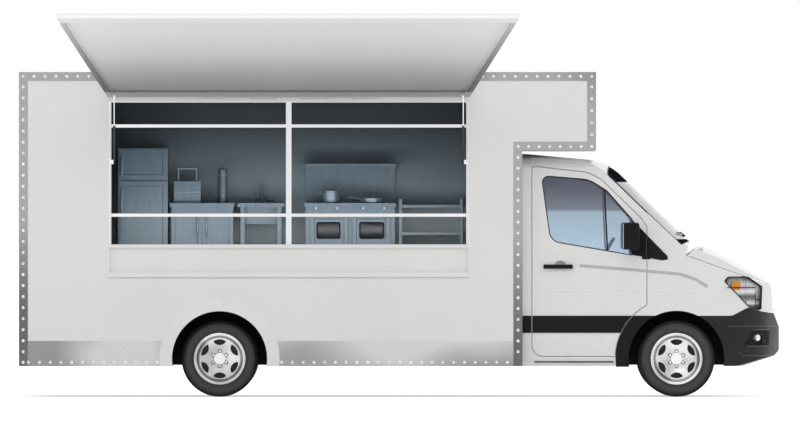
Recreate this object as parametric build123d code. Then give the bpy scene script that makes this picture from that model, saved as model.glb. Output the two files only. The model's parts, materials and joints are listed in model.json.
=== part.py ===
from build123d import *
import os
from copy import deepcopy
from math import sin, cos, atan2, degrees, radians

# Food truck. Frame: +X forward, +Y to the vehicle's left, +Z up, origin on the ground,
# on the centreline, at mid-length. Sizes are in millimetres. Side +1 is left, -1 is right.
# Outline rows are: first coordinate, second coordinate, corner radius.

os.makedirs("parts", exist_ok=True)

# running gear
wheelbase = 4325
frontAxleX = 2618
rearAxleX = frontAxleX - wheelbase
wheelCentreY = 865
tyreRadius = 361
tyreWidth = 225
axleZ = tyreRadius
beadRadius = 229
rimFlangeRadius = 245
rimWall = 9
railY = 430
railWidth = 70
railHeight = 140
railBottomZ = 450
railWall = 8
railRearX = -3400
railFrontX = 3180
kingpinY = 800
kingpinRadius = 14
stubRadius = 26
bearingGap = 0.3

# box body
boxRearX = -3602
boxFrontX = 1154
lutonFrontX = 1852
boxHalfWidth = 1100
boxBottomZ = 291
boxTopZ = 3071
lutonBottomZ = 2333
boxWall = 50
floorTopZ = 880
floorThick = 60
bearerWidth = 50
trimWidth = 81
trimProud = 3
trimGap = 1
skirtTopZ = 530
skirtProud = 2

# wheel arches
rearArchRadius = 450
rearFlareRadius = 568
flareProud = 14
frontArchRadius = 454
mouldingRadius = 577
linerWall = 5
frontLinerNearY = 535
rearLinerNearY = 640

# serving opening, frame and counter
openingRearX = -2748
openingFrontX = 643
openingBottomZ = 1130
openingTopZ = 2802
frameOuterY = -1060
frameDepth = 40
barWidth = 30
mullionWidth = 52
upperBarZ = 2549
lowerBarZ = 1705
glassThick = 6
counterTopZ = 1443
counterThick = 33
counterOuterY = -1097
counterDepth = 330
ledgeTopZ = 1178
ledgeBottomZ = 1132
ledgeProud = 16
recessDepth = 25
rebateDepth = 3

# hatch, hinged over the opening
hatchHingeY = -1112
hatchHingeZ = 2812
hatchLength = 1610
hatchHingeGap = 45
hatchThick = 50
hatchHalfInner = 1696
hatchHalfOuter = 2174
hatchTilt = 28
hingeBarrelRadius = 8
hingePinRadius = 4
hingeLeafThick = 4
hingeBarrelLength = 240
hingeBarrelGap = 2
hingeLeafReach = 80
hingeLeafHeight = 60
hingeWebHalf = 3
hatchRim = 91
hatchSideRim = 45
hatchInnerRim = 110
hatchTopThick = 14

# gas struts
strutInset = 45
strutLowerY = -1080
strutLowerZ = 2223
strutEyeAlong = 110
strutEyeBelow = 22
strutCylinderRadius = 11
strutCylinderLength = 350
strutRodRadius = 5
strutEyeRadius = 11
strutEyeWidth = 12
strutPinRadius = 5
strutNeck = 26
strutEyeClear = strutEyeWidth / 2 + 2
strutBracketOut = 14
strutBracketHalf = 20
strutRodLength = 436
strutChannelHalf = 14
strutNeckRadius = 4.5

# box rear door
rearDoorHalfWidth = 380
rearDoorTopZ = 2780
rearDoorGap = 8
rearHingeX = boxRearX - 5
rearHingeRadius = 6

# cab
cabRearX = 1159
cabCurveX = -1085
cabWall = 60
panelThick = 30
doorGap = 9
doorSkin = 26
doorThick = 68
doorStep = 26
sealGap = 0.3
cabFloorZ = railBottomZ + railHeight
cabFloorThick = 50
dashHalfWidth = 905
firewallX = 2440
cabHalfWidth = 1000
doorFrontX = 2333
doorRearX = 1253
screenThick = 8
bonnetThick = 26
bonnetGap = 7
bumperThick = 60
lampDepth = 110
mouldingProud = 7
stripTopZ = 768
stripBottomZ = 606

cabSideRows = [
    (cabRearX, boxBottomZ, 0),
    (cabRearX, 2306, 40),
    (1969, 2232, 550),
    (2752, 1472, 30),
    (3120, 1322, 1500),
    (3530, 1072, 70),
    (3562, 775, 30),
    (3607, 655, 40),
    (3607, 440, 50),
    (3560, 385, 40),
    (3270, boxBottomZ, 0),
]
cabFrontRows = [
    (-975, boxBottomZ, 0),
    (-cabHalfWidth, 560, 400),
    (-cabHalfWidth, 1380, 1500),
    (-868, 2262, 140),
    (0, 2318, 6000),
    (868, 2262, 140),
    (cabHalfWidth, 1380, 1500),
    (cabHalfWidth, 560, 400),
    (975, boxBottomZ, 0),
]
cabPlanRows = [
    (cabRearX, -cabHalfWidth, 0),
    (3100, -cabHalfWidth, 800),
    (3460, -640, 700),
    (3668, 0, 1200),
    (3460, 640, 700),
    (3100, cabHalfWidth, 800),
    (cabRearX, cabHalfWidth, 0),
]
doorArchRadius = 586
doorRows = [
    (doorRearX, 388, 100),
    (doorRearX, 2180, 34),
    (1776, 2122, 300),
    (1896, 2062, 120),
    (2286, 1682, 60),
    (doorFrontX, 1608, 60),
    (doorFrontX, 388, 0),
]
windowRows = [
    (1425, 1472, 120),
    (1338, 2095, 60),
    (1790, 2058, 260),
    (1960, 1952, 120),
    (2196, 1684, 0),
    (2196, 1341, 0),
]
cowlZ = 1262
sailPlateRows = [
    (2349, 1316, 0),
    (2349, 1520, 0),
    (2531, 1334, 10),
    (2536, 1300, 10),
    (2481, 1293, 0),
]
screenRows = [
    (2010, 2240, 0),
    (2200, 2240, 0),
    (2900, 1540, 0),
    (2760, 1478, 0),
    (2662, 1440, 0),
    (1951, 2110, 60),
]
bonnetRows = [
    (2716, 1340, 0),
    (3311, 1126, 60),
    (3470, 1083, 0),
    (3700, 1083, 0),
    (3700, 1700, 0),
    (2980, 1700, 0),
    (2872, 1430, 0),
]
lampRows = [
    (3073, 1095, 16),
    (3104, 1133, 30),
    (3296, 1133, 40),
    (3436, 1038, 20),
    (3427, 815, 30),
    (3386, 828, 0),
    (3305, 853, 30),
]
bumperRows = [
    (frontAxleX, boxBottomZ - 20, 0),
    (frontAxleX, 768, 0),
    (3146, 768, 90),
    (3300, 848, 60),
    (3427, 808, 60),
    (3560, 786, 0),
    (3700, 786, 0),
    (3700, boxBottomZ - 20, 0),
]
bonnetHingeX = bonnetRows[0][0]
bonnetHingeZ = bonnetRows[0][1]
bonnetPinRadius = 6
bonnetEarRadius = 15
bonnetEarNearY = 898
bonnetEarFarY = 920
bonnetEarRootY = 982
bonnetEarLength = 70
bonnetLugNearY = 925
bonnetLugFarY = 945
cowlTroughRows = [
    (bonnetHingeX - 6, bonnetHingeZ, 0),
    (2738, 1500, 0),
    (2900, 1520, 0),
    (2884, 1434, 0),
]
cowlPanRows = [
    (firewallX - 30, 1300, 0),
    (firewallX - 30, 1324, 0),
    (2690, 1430, 0),
    (2702, 1402, 0),
]
headlampInnerY = 430
bumperRearX = 3080
fogLampX = 3386
fogLampZ = 558
fogLampRadius = 38
grilleHalfWidth = 430
grilleTopZ = 1056
grilleBottomZ = 800
slatCount = 4
slatHeight = 22
noseReachX = 3750
roomAbove = 2500


def face(rows):
    return make_face(FilletPolyline(*[(a, b) for a, b, r in rows], radius=[r for a, b, r in rows], close=True))


def sidePrism(rows, lowY, highY):
    return extrude(Plane.XZ.offset(-highY) * face(rows), amount=highY - lowY)


def frontPrism(rows, lowX, highX):
    return extrude(Plane.YZ.offset(lowX) * face(rows), amount=highX - lowX)


def planPrism(rows, lowZ, highZ):
    return extrude(Plane.XY.offset(lowZ) * face(rows), amount=highZ - lowZ)


def block(lowX, highX, lowY, highY, lowZ, highZ):
    centre = Pos((lowX + highX) / 2, (lowY + highY) / 2, (lowZ + highZ) / 2)
    return centre * Box(highX - lowX, highY - lowY, highZ - lowZ)


def sideBlock(side, lowX, highX, nearY, farY, lowZ, highZ):
    ends = reach(side, nearY, farY)
    return block(lowX, highX, ends[0], ends[1], lowZ, highZ)


# a stretch across the vehicle on one side, low end first
def reach(side, nearY, farY):
    return sorted((side * nearY, side * farY))


def rodAlongX(y, z, radius, lowX, highX):
    return Pos((lowX + highX) / 2, y, z) * Rot(0, 90, 0) * Cylinder(radius, highX - lowX)


def rodAlongY(x, z, radius, lowY, highY):
    return Pos(x, (lowY + highY) / 2, z) * Rot(90, 0, 0) * Cylinder(radius, highY - lowY)


def rodAlongZ(x, y, radius, lowZ, highZ):
    return Pos(x, y, (lowZ + highZ) / 2) * Cylinder(radius, highZ - lowZ)


def mirrored(shape):
    return mirror(shape, about=Plane.XZ)


def save(name, *shapes):
    solids = [solid for shape in shapes for solid in shape.solids()]
    export_step(Compound(children=solids) if len(solids) > 1 else solids[0], f"parts/{name}.step")


# cab form

def cabForm(inset):
    side, front, plan = [
        offset(face(rows), amount=-inset) if inset else face(rows)
        for rows in (cabSideRows, cabFrontRows, cabPlanRows)
    ]
    axis = Axis((cabCurveX, 0, 0), (0, 0, 1))
    halfSweep = 26
    swept = revolve((Plane.XZ * side).rotate(axis, -halfSweep), axis=axis, revolution_arc=2 * halfSweep)
    across = extrude(Plane.YZ.offset(cabRearX - 200) * front, amount=noseReachX - cabRearX + 200)
    return swept & across & extrude(Plane.XY * plan, amount=roomAbove)


forms = {}


# booleans can wear a solid's edges, so each use gets a copy of its own
def cabInset(inset):
    if inset not in forms:
        forms[inset] = cabForm(inset)
    return deepcopy(forms[inset])


def cabSkin(outer, inner):
    return cabInset(outer) - cabInset(inner)


def grown(rows, amount):
    return offset(face(rows), amount=amount)


def flatPrism(sketch, lowY, highY):
    return extrude(Plane.XZ.offset(-highY) * sketch, amount=highY - lowY)


outY = boxHalfWidth + 100
doorFace = face(doorRows) - Pos(frontAxleX, axleZ) * Circle(doorArchRadius)
doorOpening = offset(doorFace, amount=doorGap)
frontArchHole = [
    rodAlongY(frontAxleX, axleZ, frontArchRadius, *reach(side, frontLinerNearY, outY)) for side in (1, -1)
]
underside = block(cabRearX - 50, bumperRearX, -880, 880, 0, cabFloorZ)


# cab panels

def mouldingZone():
    quarter = block(frontAxleX - mouldingRadius, frontAxleX, -outY, outY, boxBottomZ - 30, stripTopZ)
    ring = rodAlongY(frontAxleX, axleZ, mouldingRadius, -outY, outY)
    return quarter & (ring - block(0, noseReachX, -700, 700, 0, roomAbove))


def makeCabShell():
    behindBonnet = [
        (cabRearX - 50, 200, 0),
        (doorFrontX + doorGap, 200, 0),
        (doorFrontX + doorGap, cowlZ, 0),
        (2560, cowlZ, 0),
        bonnetRows[0],
        bonnetRows[-1],
        bonnetRows[-2],
        (bonnetRows[-2][0], roomAbove, 0),
        (cabRearX - 50, roomAbove, 0),
    ]
    region = flatPrism(face(behindBonnet) - grown(bonnetRows, bonnetGap), -outY, outY)
    shell = cabSkin(0, cabWall) & region
    postZone = block(doorFrontX + doorGap, firewallX, -outY, outY, cabFloorZ, cowlZ)
    post = cabSkin(panelThick, cabWall) & postZone
    inner = cabInset(cabWall)
    floor = block(cabRearX + cabWall - 2, firewallX, -outY, outY, cabFloorZ, cabFloorZ + cabFloorThick)
    wall = block(firewallX - 30, firewallX, -outY, outY, cabFloorZ, cowlZ + 60)
    shell = shell + post + (inner & floor) + (inner & wall)
    shell -= sidePrism(screenRows, -outY, outY)
    shell -= underside
    for side in (1, -1):
        ends = reach(side, 700, outY)
        shell -= cabSkin(0, doorSkin + sealGap) & flatPrism(doorOpening, *ends)
        shell -= flatPrism(offset(doorFace, amount=doorGap - doorStep), *ends)
        shell -= rodAlongY(frontAxleX, axleZ, frontArchRadius + linerWall, *reach(side, frontLinerNearY, outY))
    shell -= sidePrism(cowlTroughRows, -outY, outY)
    shell += inner & sidePrism(cowlPanRows, -outY, outY)
    for side in (1, -1):
        shell += sideBlock(side, bonnetHingeX - 40, bonnetHingeX + 2, bonnetLugNearY, bonnetLugFarY,
                           bonnetHingeZ - 7, bonnetHingeZ + 7)
        shell += rodAlongY(bonnetHingeX, bonnetHingeZ, bonnetPinRadius,
                           *reach(side, bonnetEarNearY - 3, bonnetLugFarY - 5))
    return shell - mouldingZone()


def makeBonnet():
    bonnet = cabSkin(0, bonnetThick) & sidePrism(bonnetRows, -outY, outY)
    for side in (1, -1):
        ear = rodAlongY(bonnetHingeX, bonnetHingeZ, bonnetEarRadius, *reach(side, bonnetEarNearY, bonnetEarFarY))
        ear += sideBlock(side, bonnetHingeX + 8, bonnetHingeX + bonnetEarLength, bonnetEarNearY, bonnetEarRootY,
                         bonnetHingeZ - 10, bonnetHingeZ + 8)
        ear -= rodAlongY(bonnetHingeX, bonnetHingeZ, bonnetPinRadius + bearingGap, *reach(side, 800, cabHalfWidth))
        bonnet += ear
    return bonnet


cabShell = makeCabShell()
save("cab_shell", cabShell)
save("windscreen", cabSkin(4, 4 + screenThick) & sidePrism(screenRows, -outY, outY))
save("bonnet", makeBonnet())

wingRows = [
    (doorFrontX + doorGap, boxBottomZ - 20, 0),
    (doorFrontX + doorGap, cowlZ, 0),
    (2560, cowlZ, 0),
    bonnetRows[0],
    (bonnetRows[1][0], bonnetRows[1][1], 0),
    bonnetRows[2],
    bonnetRows[3],
    (noseReachX, boxBottomZ - 20, 0),
]
lampZone = [sidePrism(lampRows, *reach(side, headlampInnerY, outY)) for side in (1, -1)]
bumperZone = sidePrism(bumperRows, -outY, outY)
grilleZone = block(3300, noseReachX, -grilleHalfWidth, grilleHalfWidth, grilleBottomZ, grilleTopZ)
wings = cabSkin(0, panelThick) & flatPrism(face(wingRows) - grown(bonnetRows, bonnetGap), -outY, outY)
wings = wings - bumperZone - lampZone[0] - lampZone[1] - grilleZone - mouldingZone() - underside
wings = wings - frontArchHole[0] - frontArchHole[1]
save("front_wings", wings)

fogHoles = [rodAlongY(fogLampX, fogLampZ, fogLampRadius, *reach(side, 300, outY)) for side in (1, -1)]
bumper = (cabSkin(0, bumperThick) & bumperZone) - underside - frontArchHole[0] - frontArchHole[1]
save("front_bumper", bumper - fogHoles[0] - fogHoles[1])

lamps = [cabSkin(0, lampDepth) & zone for zone in lampZone]
fogLamps = [cabSkin(6, bumperThick) & hole for hole in fogHoles]
save("headlamps", *lamps, *fogLamps)

slatPitch = (grilleTopZ - grilleBottomZ) / (slatCount + 1)
slats = [
    block(3300, noseReachX, -grilleHalfWidth, grilleHalfWidth, z - slatHeight / 2, z + slatHeight / 2)
    for z in [grilleBottomZ + slatPitch * (k + 1) for k in range(slatCount)]
]
surround = grilleZone - block(3300, noseReachX, -grilleHalfWidth + 24, grilleHalfWidth - 24,
                              grilleBottomZ + 24, grilleTopZ - 24)
grilleBack = cabSkin(panelThick, panelThick + 6) & grilleZone
grille = (cabSkin(0, panelThick) & surround) + grilleBack
for slat in slats:
    grille += cabSkin(8, panelThick) & slat
save("grille", grille)

mouldingBody = cabSkin(-mouldingProud, panelThick) & mouldingZone()
rearStripZone = block(cabRearX, doorRearX - doorGap, -outY, outY, stripBottomZ, stripTopZ)
rearStrip = cabSkin(-mouldingProud, 0) & rearStripZone
sailPlate = cabSkin(-mouldingProud, 0) & sidePrism(sailPlateRows, -outY, outY)
save("side_mouldings", mouldingBody - frontArchHole[0] - frontArchHole[1], rearStrip, sailPlate)

linerRing = [
    rodAlongY(frontAxleX, axleZ, frontArchRadius + linerWall, *reach(side, frontLinerNearY, outY))
    - rodAlongY(frontAxleX, axleZ, frontArchRadius, *reach(side, 500, outY))
    for side in (1, -1)
]
belowLiners = block(0, noseReachX, -outY, outY, 0, boxBottomZ + 60)
frontLiners = [(ring & cabInset(panelThick)) - bumper - belowLiners for ring in linerRing]


def rearLiner(side):
    ends = reach(side, rearLinerNearY, boxHalfWidth - boxWall)
    ring = rodAlongY(rearAxleX, axleZ, rearArchRadius + linerWall, *ends)
    ring -= rodAlongY(rearAxleX, axleZ, rearArchRadius, *ends)
    return ring - block(rearAxleX - 600, rearAxleX + 600, -outY, outY, -roomAbove, boxBottomZ)


save("arch_liners", *frontLiners, rearLiner(1), rearLiner(-1))


# doors

def makeDoor(side):
    ends = reach(side, 700, outY)
    outer = cabSkin(0, doorSkin) & flatPrism(doorFace, *ends)
    innerFace = offset(doorFace, amount=-doorStep)
    inner = cabSkin(doorSkin, doorThick) & flatPrism(innerFace, *ends)
    return outer + inner - sidePrism(windowRows, *ends)


mirrorNearY = 1040
mirrorFarY = 1240
mirrorRearX = 2112
mirrorFrontX = 2264
mirrorBottomZ = 1394
mirrorTopZ = 1649
mirrorCorner = 24
mirrorArm = (2235, 2300, 1400, 1460)
handleRearX = 1358
handleFrontX = 1635
handleLowZ = 1213
handleHighZ = 1253
handleStandOff = 14
handleThick = 16
handlePostWidth = 40
handlePostXs = (1370, 1580)
doorSailRows = [
    (windowRows[-1][0] + 4, 1343, 0),
    (windowRows[-1][0] + 4, 1676, 0),
    (doorFrontX - 7, 1546, 0),
    (doorFrontX - 7, 1322, 0),
]


def makeDoorFittings(side):
    ends = reach(side, 700, outY)
    stripZone = sideBlock(side, doorRearX - 250, doorFrontX + 70, 700, outY, stripBottomZ, stripTopZ)
    strip = cabSkin(-mouldingProud, 0) & flatPrism(doorFace, *ends) & stripZone
    sail = cabSkin(-mouldingProud, 0) & sidePrism(doorSailRows, *ends)
    lowX, highX, lowZ, highZ = mirrorArm
    arm = sideBlock(side, lowX, highX, cabHalfWidth - 8, mirrorNearY + 10, lowZ, highZ)
    housing = sideBlock(side, mirrorRearX, mirrorFrontX, mirrorNearY, mirrorFarY, mirrorBottomZ, mirrorTopZ)
    housing = fillet(housing.edges(), mirrorCorner)
    seatY = cabHalfWidth + handleStandOff
    handle = sideBlock(side, handleRearX, handleFrontX, seatY, seatY + handleThick, handleLowZ, handleHighZ)
    for x in handlePostXs:
        handle += sideBlock(side, x, x + handlePostWidth, cabHalfWidth, seatY, handleLowZ + 5, handleHighZ - 5)
    return [strip, sail + (arm - cabInset(0)) + housing, handle]


for side, label in ((1, "left"), (-1, "right")):
    save(f"cab_door_{label}", makeDoor(side))
    save(f"door_glass_{label}", cabSkin(8, 14) & sidePrism(windowRows, *reach(side, 700, outY)))
    save(f"door_fittings_{label}", *makeDoorFittings(side))


# cab interior

seatBaseZ = cabFloorZ + cabFloorThick
seatCentreY = 430
squabLowZ = 950
squabTopZ = 1085
# side outline, then half width, of the pedestal, squab, back and headrest
seatSections = (
    ([(1400, seatBaseZ, 0), (1400, squabLowZ, 0), (1780, squabLowZ, 0), (1780, seatBaseZ, 0)], 200),
    ([(1340, squabLowZ, 0), (1340, squabTopZ, 0), (1860, squabTopZ, 0), (1860, squabLowZ, 0)], 245),
    ([(1330, squabTopZ, 20), (1262, 1700, 20), (1372, 1710, 20), (1460, squabTopZ, 20)], 245),
    ([(1290, 1702, 0), (1282, 1880, 20), (1376, 1884, 20), (1366, 1709, 0)], 130),
)


def makeSeat(centreY):
    return [sidePrism(rows, centreY - half, centreY + half) for rows, half in seatSections]


save("seats", *makeSeat(seatCentreY), *makeSeat(-seatCentreY))

dashRows = [
    (firewallX - panelThick, 900, 0),
    (2060, 1080, 40),
    (2010, 1290, 60),
    (2110, 1350, 60),
    (firewallX - panelThick, 1322, 0),
]
steeringX = 1940
steeringZ = 1330
steeringTilt = 60
steeringRadius = 190
steeringGrip = 15
spokeWidth = 40
spokeThick = 14
hubRadius = 55
hubThick = 40
columnRadius = 30
columnLength = 200
columnDrop = 110
steeringPlace = Pos(steeringX, seatCentreY, steeringZ) * Rot(0, -steeringTilt, 0)
steering = Torus(steeringRadius, steeringGrip) + Cylinder(hubRadius, hubThick)
spokeSpan = 2 * steeringRadius - 10
steering += Box(spokeSpan, spokeWidth, spokeThick) + Box(spokeWidth, spokeSpan, spokeThick)
steering += Pos(0, 0, -columnDrop) * Cylinder(columnRadius, columnLength)
save("dashboard", sidePrism(dashRows, -dashHalfWidth, dashHalfWidth) + steeringPlace * steering)


# wheels and running gear

tyreRows = [
    (beadRadius, -104, 0),
    (rimFlangeRadius, -104, 0),
    (262, -tyreWidth / 2, 20),
    (332, -tyreWidth / 2, 60),
    (tyreRadius, -82, 26),
    (tyreRadius, 82, 26),
    (332, tyreWidth / 2, 60),
    (262, tyreWidth / 2, 20),
    (rimFlangeRadius, 104, 0),
    (beadRadius, 104, 0),
]
barrelInner = beadRadius - rimWall
rimRows = [
    (barrelInner, -112, 0),
    (rimFlangeRadius, -112, 3),
    (rimFlangeRadius, -104, 0),
    (beadRadius, -104, 0),
    (beadRadius, 104, 0),
    (rimFlangeRadius, 104, 0),
    (rimFlangeRadius, 112, 3),
    (barrelInner, 112, 0),
]
discRows = [
    (0, 98, 0),
    (54, 96, 4),
    (60, 84, 0),
    (86, 80, 6),
    (104, 86, 20),
    (150, 101, 40),
    (196, 88, 20),
    (barrelInner, 54, 0),
    (barrelInner, 42, 0),
    (190, 75, 20),
    (150, 88, 40),
    (100, 74, 10),
    (60, 70, 0),
    (60, -20, 0),
    (stubRadius + bearingGap, -20, 0),
    (stubRadius + bearingGap, 84, 0),
    (0, 84, 0),
]
handHoleCount = 6
handHoleHigh = 185
handHoleLow = 129
handHoleHighArc = 103
handHoleLowArc = 69
discOutside = 130
discCutDepth = 80
nutCircleRadius = 70
nutRadius = 11
nutHeight = 16
nutSeat = 88


def spun(rows):
    profile = Plane.XY * make_face(FilletPolyline(*[(a, b) for a, b, r in rows], radius=[r for a, b, r in rows],
                                                  close=True))
    return revolve(profile, axis=Axis.Y)


def makeRim():
    rim = spun(rimRows) + spun(discRows)
    lens = Pos(0, handHoleHigh - handHoleHighArc) * Circle(handHoleHighArc)
    lens &= Pos(0, handHoleLow + handHoleLowArc) * Circle(handHoleLowArc)
    for k in range(handHoleCount):
        turn = Rot(0, 360 / handHoleCount * k, 0)
        rim -= turn * extrude(Plane.XZ.offset(-discOutside) * lens, amount=discCutDepth)
        rim += turn * Pos(0, nutSeat, nutCircleRadius) * Rot(90, 0, 0) * Cylinder(nutRadius, nutHeight)
    return rim


tyreForm = spun(tyreRows)
rimForm = makeRim()
for endName, axleX in (("front", frontAxleX), ("rear", rearAxleX)):
    for side, label in ((1, "left"), (-1, "right")):
        place = Pos(axleX, side * wheelCentreY, axleZ)
        turned = rimForm if side == 1 else mirrored(rimForm)
        save(f"tyre_{endName}_{label}", place * tyreForm)
        save(f"rim_{endName}_{label}", place * turned)

uprightHalf = 110
uprightHalfLength = 45
uprightNearY = 770
uprightFarY = 830
shieldRadius = 118
shieldFarY = 837
eyeNear = 124
eyeFar = 154
stubFarY = 945
for side, label in ((1, "left"), (-1, "right")):
    knuckle = sideBlock(side, frontAxleX - uprightHalfLength, frontAxleX + uprightHalfLength, uprightNearY,
                        uprightFarY, axleZ - uprightHalf, axleZ + uprightHalf)
    knuckle += rodAlongZ(frontAxleX, side * kingpinY, kingpinRadius, axleZ - eyeFar, axleZ + eyeFar)
    knuckle += rodAlongY(frontAxleX, axleZ, stubRadius, *reach(side, uprightFarY - 10, stubFarY))
    knuckle += rodAlongY(frontAxleX, axleZ, shieldRadius, *reach(side, uprightFarY - 4, shieldFarY))
    save(f"knuckle_{label}", knuckle)

railLow = railY - railWidth / 2
railHigh = railY + railWidth / 2


crossMemberXs = (-3350, -2600, -900, 0, 900, 1700, 2780, 3110)
crossMemberWidth = 60
crossMemberHeight = 60
bearerBottomZ = 750
bearerCount = 8
bearerRearX = -3380
bearerPitch = 640


# the rails, cross members and floor bearers stay separate solids, a seat's gap apart
def makeFrame():
    members = []
    for side in (1, -1):
        rail = sideBlock(side, railRearX, railFrontX, railLow, railHigh, railBottomZ, cabFloorZ)
        rail -= sideBlock(side, railRearX, railFrontX, railLow - 5, railHigh - railWall,
                          railBottomZ + railWall, cabFloorZ - railWall)
        riser = sideBlock(side, railRearX, boxFrontX, railLow, railHigh, cabFloorZ, bearerBottomZ)
        members.append(rail + riser)
    crossHalf = railHigh - railWall - sealGap
    for x in crossMemberXs:
        memberTopZ = cabFloorZ - railWall
        members.append(block(x, x + crossMemberWidth, -crossHalf, crossHalf, memberTopZ - crossMemberHeight,
                             memberTopZ - sealGap))
    archRadius = rearArchRadius + linerWall
    arches = [rodAlongY(rearAxleX, axleZ, archRadius, *reach(side, rearLinerNearY, outY)) for side in (1, -1)]
    for k in range(bearerCount):
        x = bearerRearX + k * bearerPitch
        bearer = block(x, x + bearerWidth, -boxHalfWidth + boxWall, boxHalfWidth - boxWall,
                       bearerBottomZ + sealGap, floorTopZ - floorThick)
        members.append(bearer - arches[0] - arches[1])
    return members


save("chassis_frame", *makeFrame())

engineRearX = 2680
engineFrontX = 3280
engineHalfWidth = 300
engineTopZ = 1090
gearboxRearX = 2080
gearboxHalfWidth = 140
gearboxBottomZ = 458
engine = block(engineRearX, engineFrontX, -engineHalfWidth, engineHalfWidth, cabFloorZ, engineTopZ)
gearbox = block(gearboxRearX, engineRearX + 10, -gearboxHalfWidth, gearboxHalfWidth, gearboxBottomZ, cabFloorZ + 40)
gearbox -= block(gearboxRearX - 80, firewallX, -engineHalfWidth, engineHalfWidth, cabFloorZ, engineTopZ)
save("engine_block", engine + gearbox)

tankRearX = 250
tankFrontX = 1000
tankOuterY = 900
tankBottomZ = 400
tankTopZ = 700
tankCorner = 40
tank = block(tankRearX, tankFrontX, railHigh, tankOuterY, tankBottomZ, tankTopZ)
save("fuel_tank", fillet(tank.edges().filter_by(Axis.X), tankCorner))

silencerRadius = 95
silencerY = -railHigh - silencerRadius
silencerZ = 480
silencerRearX = -600
silencerFrontX = 200
pipeRadius = 30
pipeZ = 415
pipeRearX = -900
downpipeX = 2115
downpipeY = -100
exhaust = rodAlongX(silencerY, silencerZ, silencerRadius, silencerRearX, silencerFrontX)
exhaust += rodAlongX(silencerY, pipeZ, pipeRadius, pipeRearX, downpipeX)
exhaust += rodAlongY(downpipeX, pipeZ, pipeRadius, silencerY, downpipeY)
exhaust += rodAlongZ(downpipeX, downpipeY, pipeRadius, pipeZ, gearboxBottomZ)
for bendY in (silencerY, downpipeY):
    exhaust += Pos(downpipeX, bendY, pipeZ) * Sphere(pipeRadius)
save("exhaust", exhaust)

springNearY = railHigh
springFarY = railHigh + 72
springHalf = 640
springFlatHalf = 260
springThick = 26
springLowZ = 416
springEndLowZ = 474
springBend = 200
springEyeHalf = 25
springEyeTopZ = 560
springRows = [
    (rearAxleX - springHalf, springEndLowZ + springThick, 0),
    (rearAxleX - springFlatHalf, springLowZ + springThick, springBend),
    (rearAxleX + springFlatHalf, springLowZ + springThick, springBend),
    (rearAxleX + springHalf, springEndLowZ + springThick, 0),
    (rearAxleX + springHalf, springEndLowZ, 0),
    (rearAxleX + springFlatHalf, springLowZ, springBend),
    (rearAxleX - springFlatHalf, springLowZ, springBend),
    (rearAxleX - springHalf, springEndLowZ, 0),
]
axleTubeRadius = 55
drumRadius = 150
drumNearY = 780
drumFarY = 835
propRadius = 25
propZ = 484
padHalf = 60
axle = rodAlongY(rearAxleX, axleZ, axleTubeRadius, -drumNearY - 10, drumNearY + 10)
axle += Pos(rearAxleX, 0, axleZ) * Sphere(drumRadius)
for side in (1, -1):
    axle += rodAlongY(rearAxleX, axleZ, drumRadius, *reach(side, drumNearY, drumFarY))
    axle += rodAlongY(rearAxleX, axleZ, stubRadius, *reach(side, drumFarY - 5, stubFarY))
    axle += sideBlock(side, rearAxleX - padHalf, rearAxleX + padHalf, springNearY, springFarY, axleZ, springLowZ)
propshaft = rodAlongX(0, propZ, propRadius, rearAxleX + padHalf, gearboxRearX)
save("rear_drive", axle + propshaft)


subframeBottomZ = 340
armHalfLength = 30
armEyeRadius = 34
armNeckY = 745
lowerArmRows = [
    (railHigh + sealGap, subframeBottomZ + 5, 0),
    (railHigh + sealGap, 420, 0),
    (armNeckY, axleZ - eyeNear, 0),
    (kingpinY, axleZ - eyeNear, 0),
    (kingpinY, axleZ - eyeFar, 0),
    (armNeckY - 15, axleZ - eyeFar, 0),
]
upperArmRows = [
    (railHigh, 500, 0),
    (railHigh, 560, 0),
    (armNeckY, axleZ + eyeFar, 0),
    (kingpinY, axleZ + eyeFar, 0),
    (kingpinY, axleZ + eyeNear, 0),
    (armNeckY, axleZ + eyeNear, 0),
]


def makeSuspension():
    parts = [block(frontAxleX - padHalf, frontAxleX + padHalf, -railHigh, railHigh, subframeBottomZ, railBottomZ)]
    for side in (1, -1):
        for rows, eyeZ in zip((lowerArmRows, upperArmRows), (axleZ - eyeFar, axleZ + eyeNear)):
            placed = [(side * a, b, r) for a, b, r in rows]
            arm = frontPrism(placed, frontAxleX - armHalfLength, frontAxleX + armHalfLength)
            arm += rodAlongZ(frontAxleX, side * kingpinY, armEyeRadius, eyeZ, eyeZ + eyeFar - eyeNear)
            arm -= rodAlongZ(frontAxleX, side * kingpinY, kingpinRadius + bearingGap, eyeZ - 1,
                             eyeZ + eyeFar - eyeNear + 1)
            parts.append(arm)
        spring = sidePrism(springRows, *reach(side, springNearY, springFarY))
        for end in (-1, 1):
            eyeX = rearAxleX + end * springHalf
            spring += sideBlock(side, eyeX - springEyeHalf, eyeX + springEyeHalf, springNearY, springFarY,
                                railBottomZ + 10, springEyeTopZ)
        parts.append(spring)
    return parts


save("suspension", *makeSuspension())


# box body

boxSideRows = [
    (boxRearX, boxBottomZ, 0),
    (boxRearX, boxTopZ, 0),
    (lutonFrontX, boxTopZ, 0),
    (lutonFrontX, lutonBottomZ, 0),
    (boxFrontX, lutonBottomZ, 0),
    (boxFrontX, boxBottomZ, 0),
]
innerY = boxHalfWidth - boxWall


def makeSide(side):
    panel = sidePrism(boxSideRows, *reach(side, innerY, boxHalfWidth))
    return panel - rodAlongY(rearAxleX, axleZ, rearArchRadius, *reach(side, 1000, outY))


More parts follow.
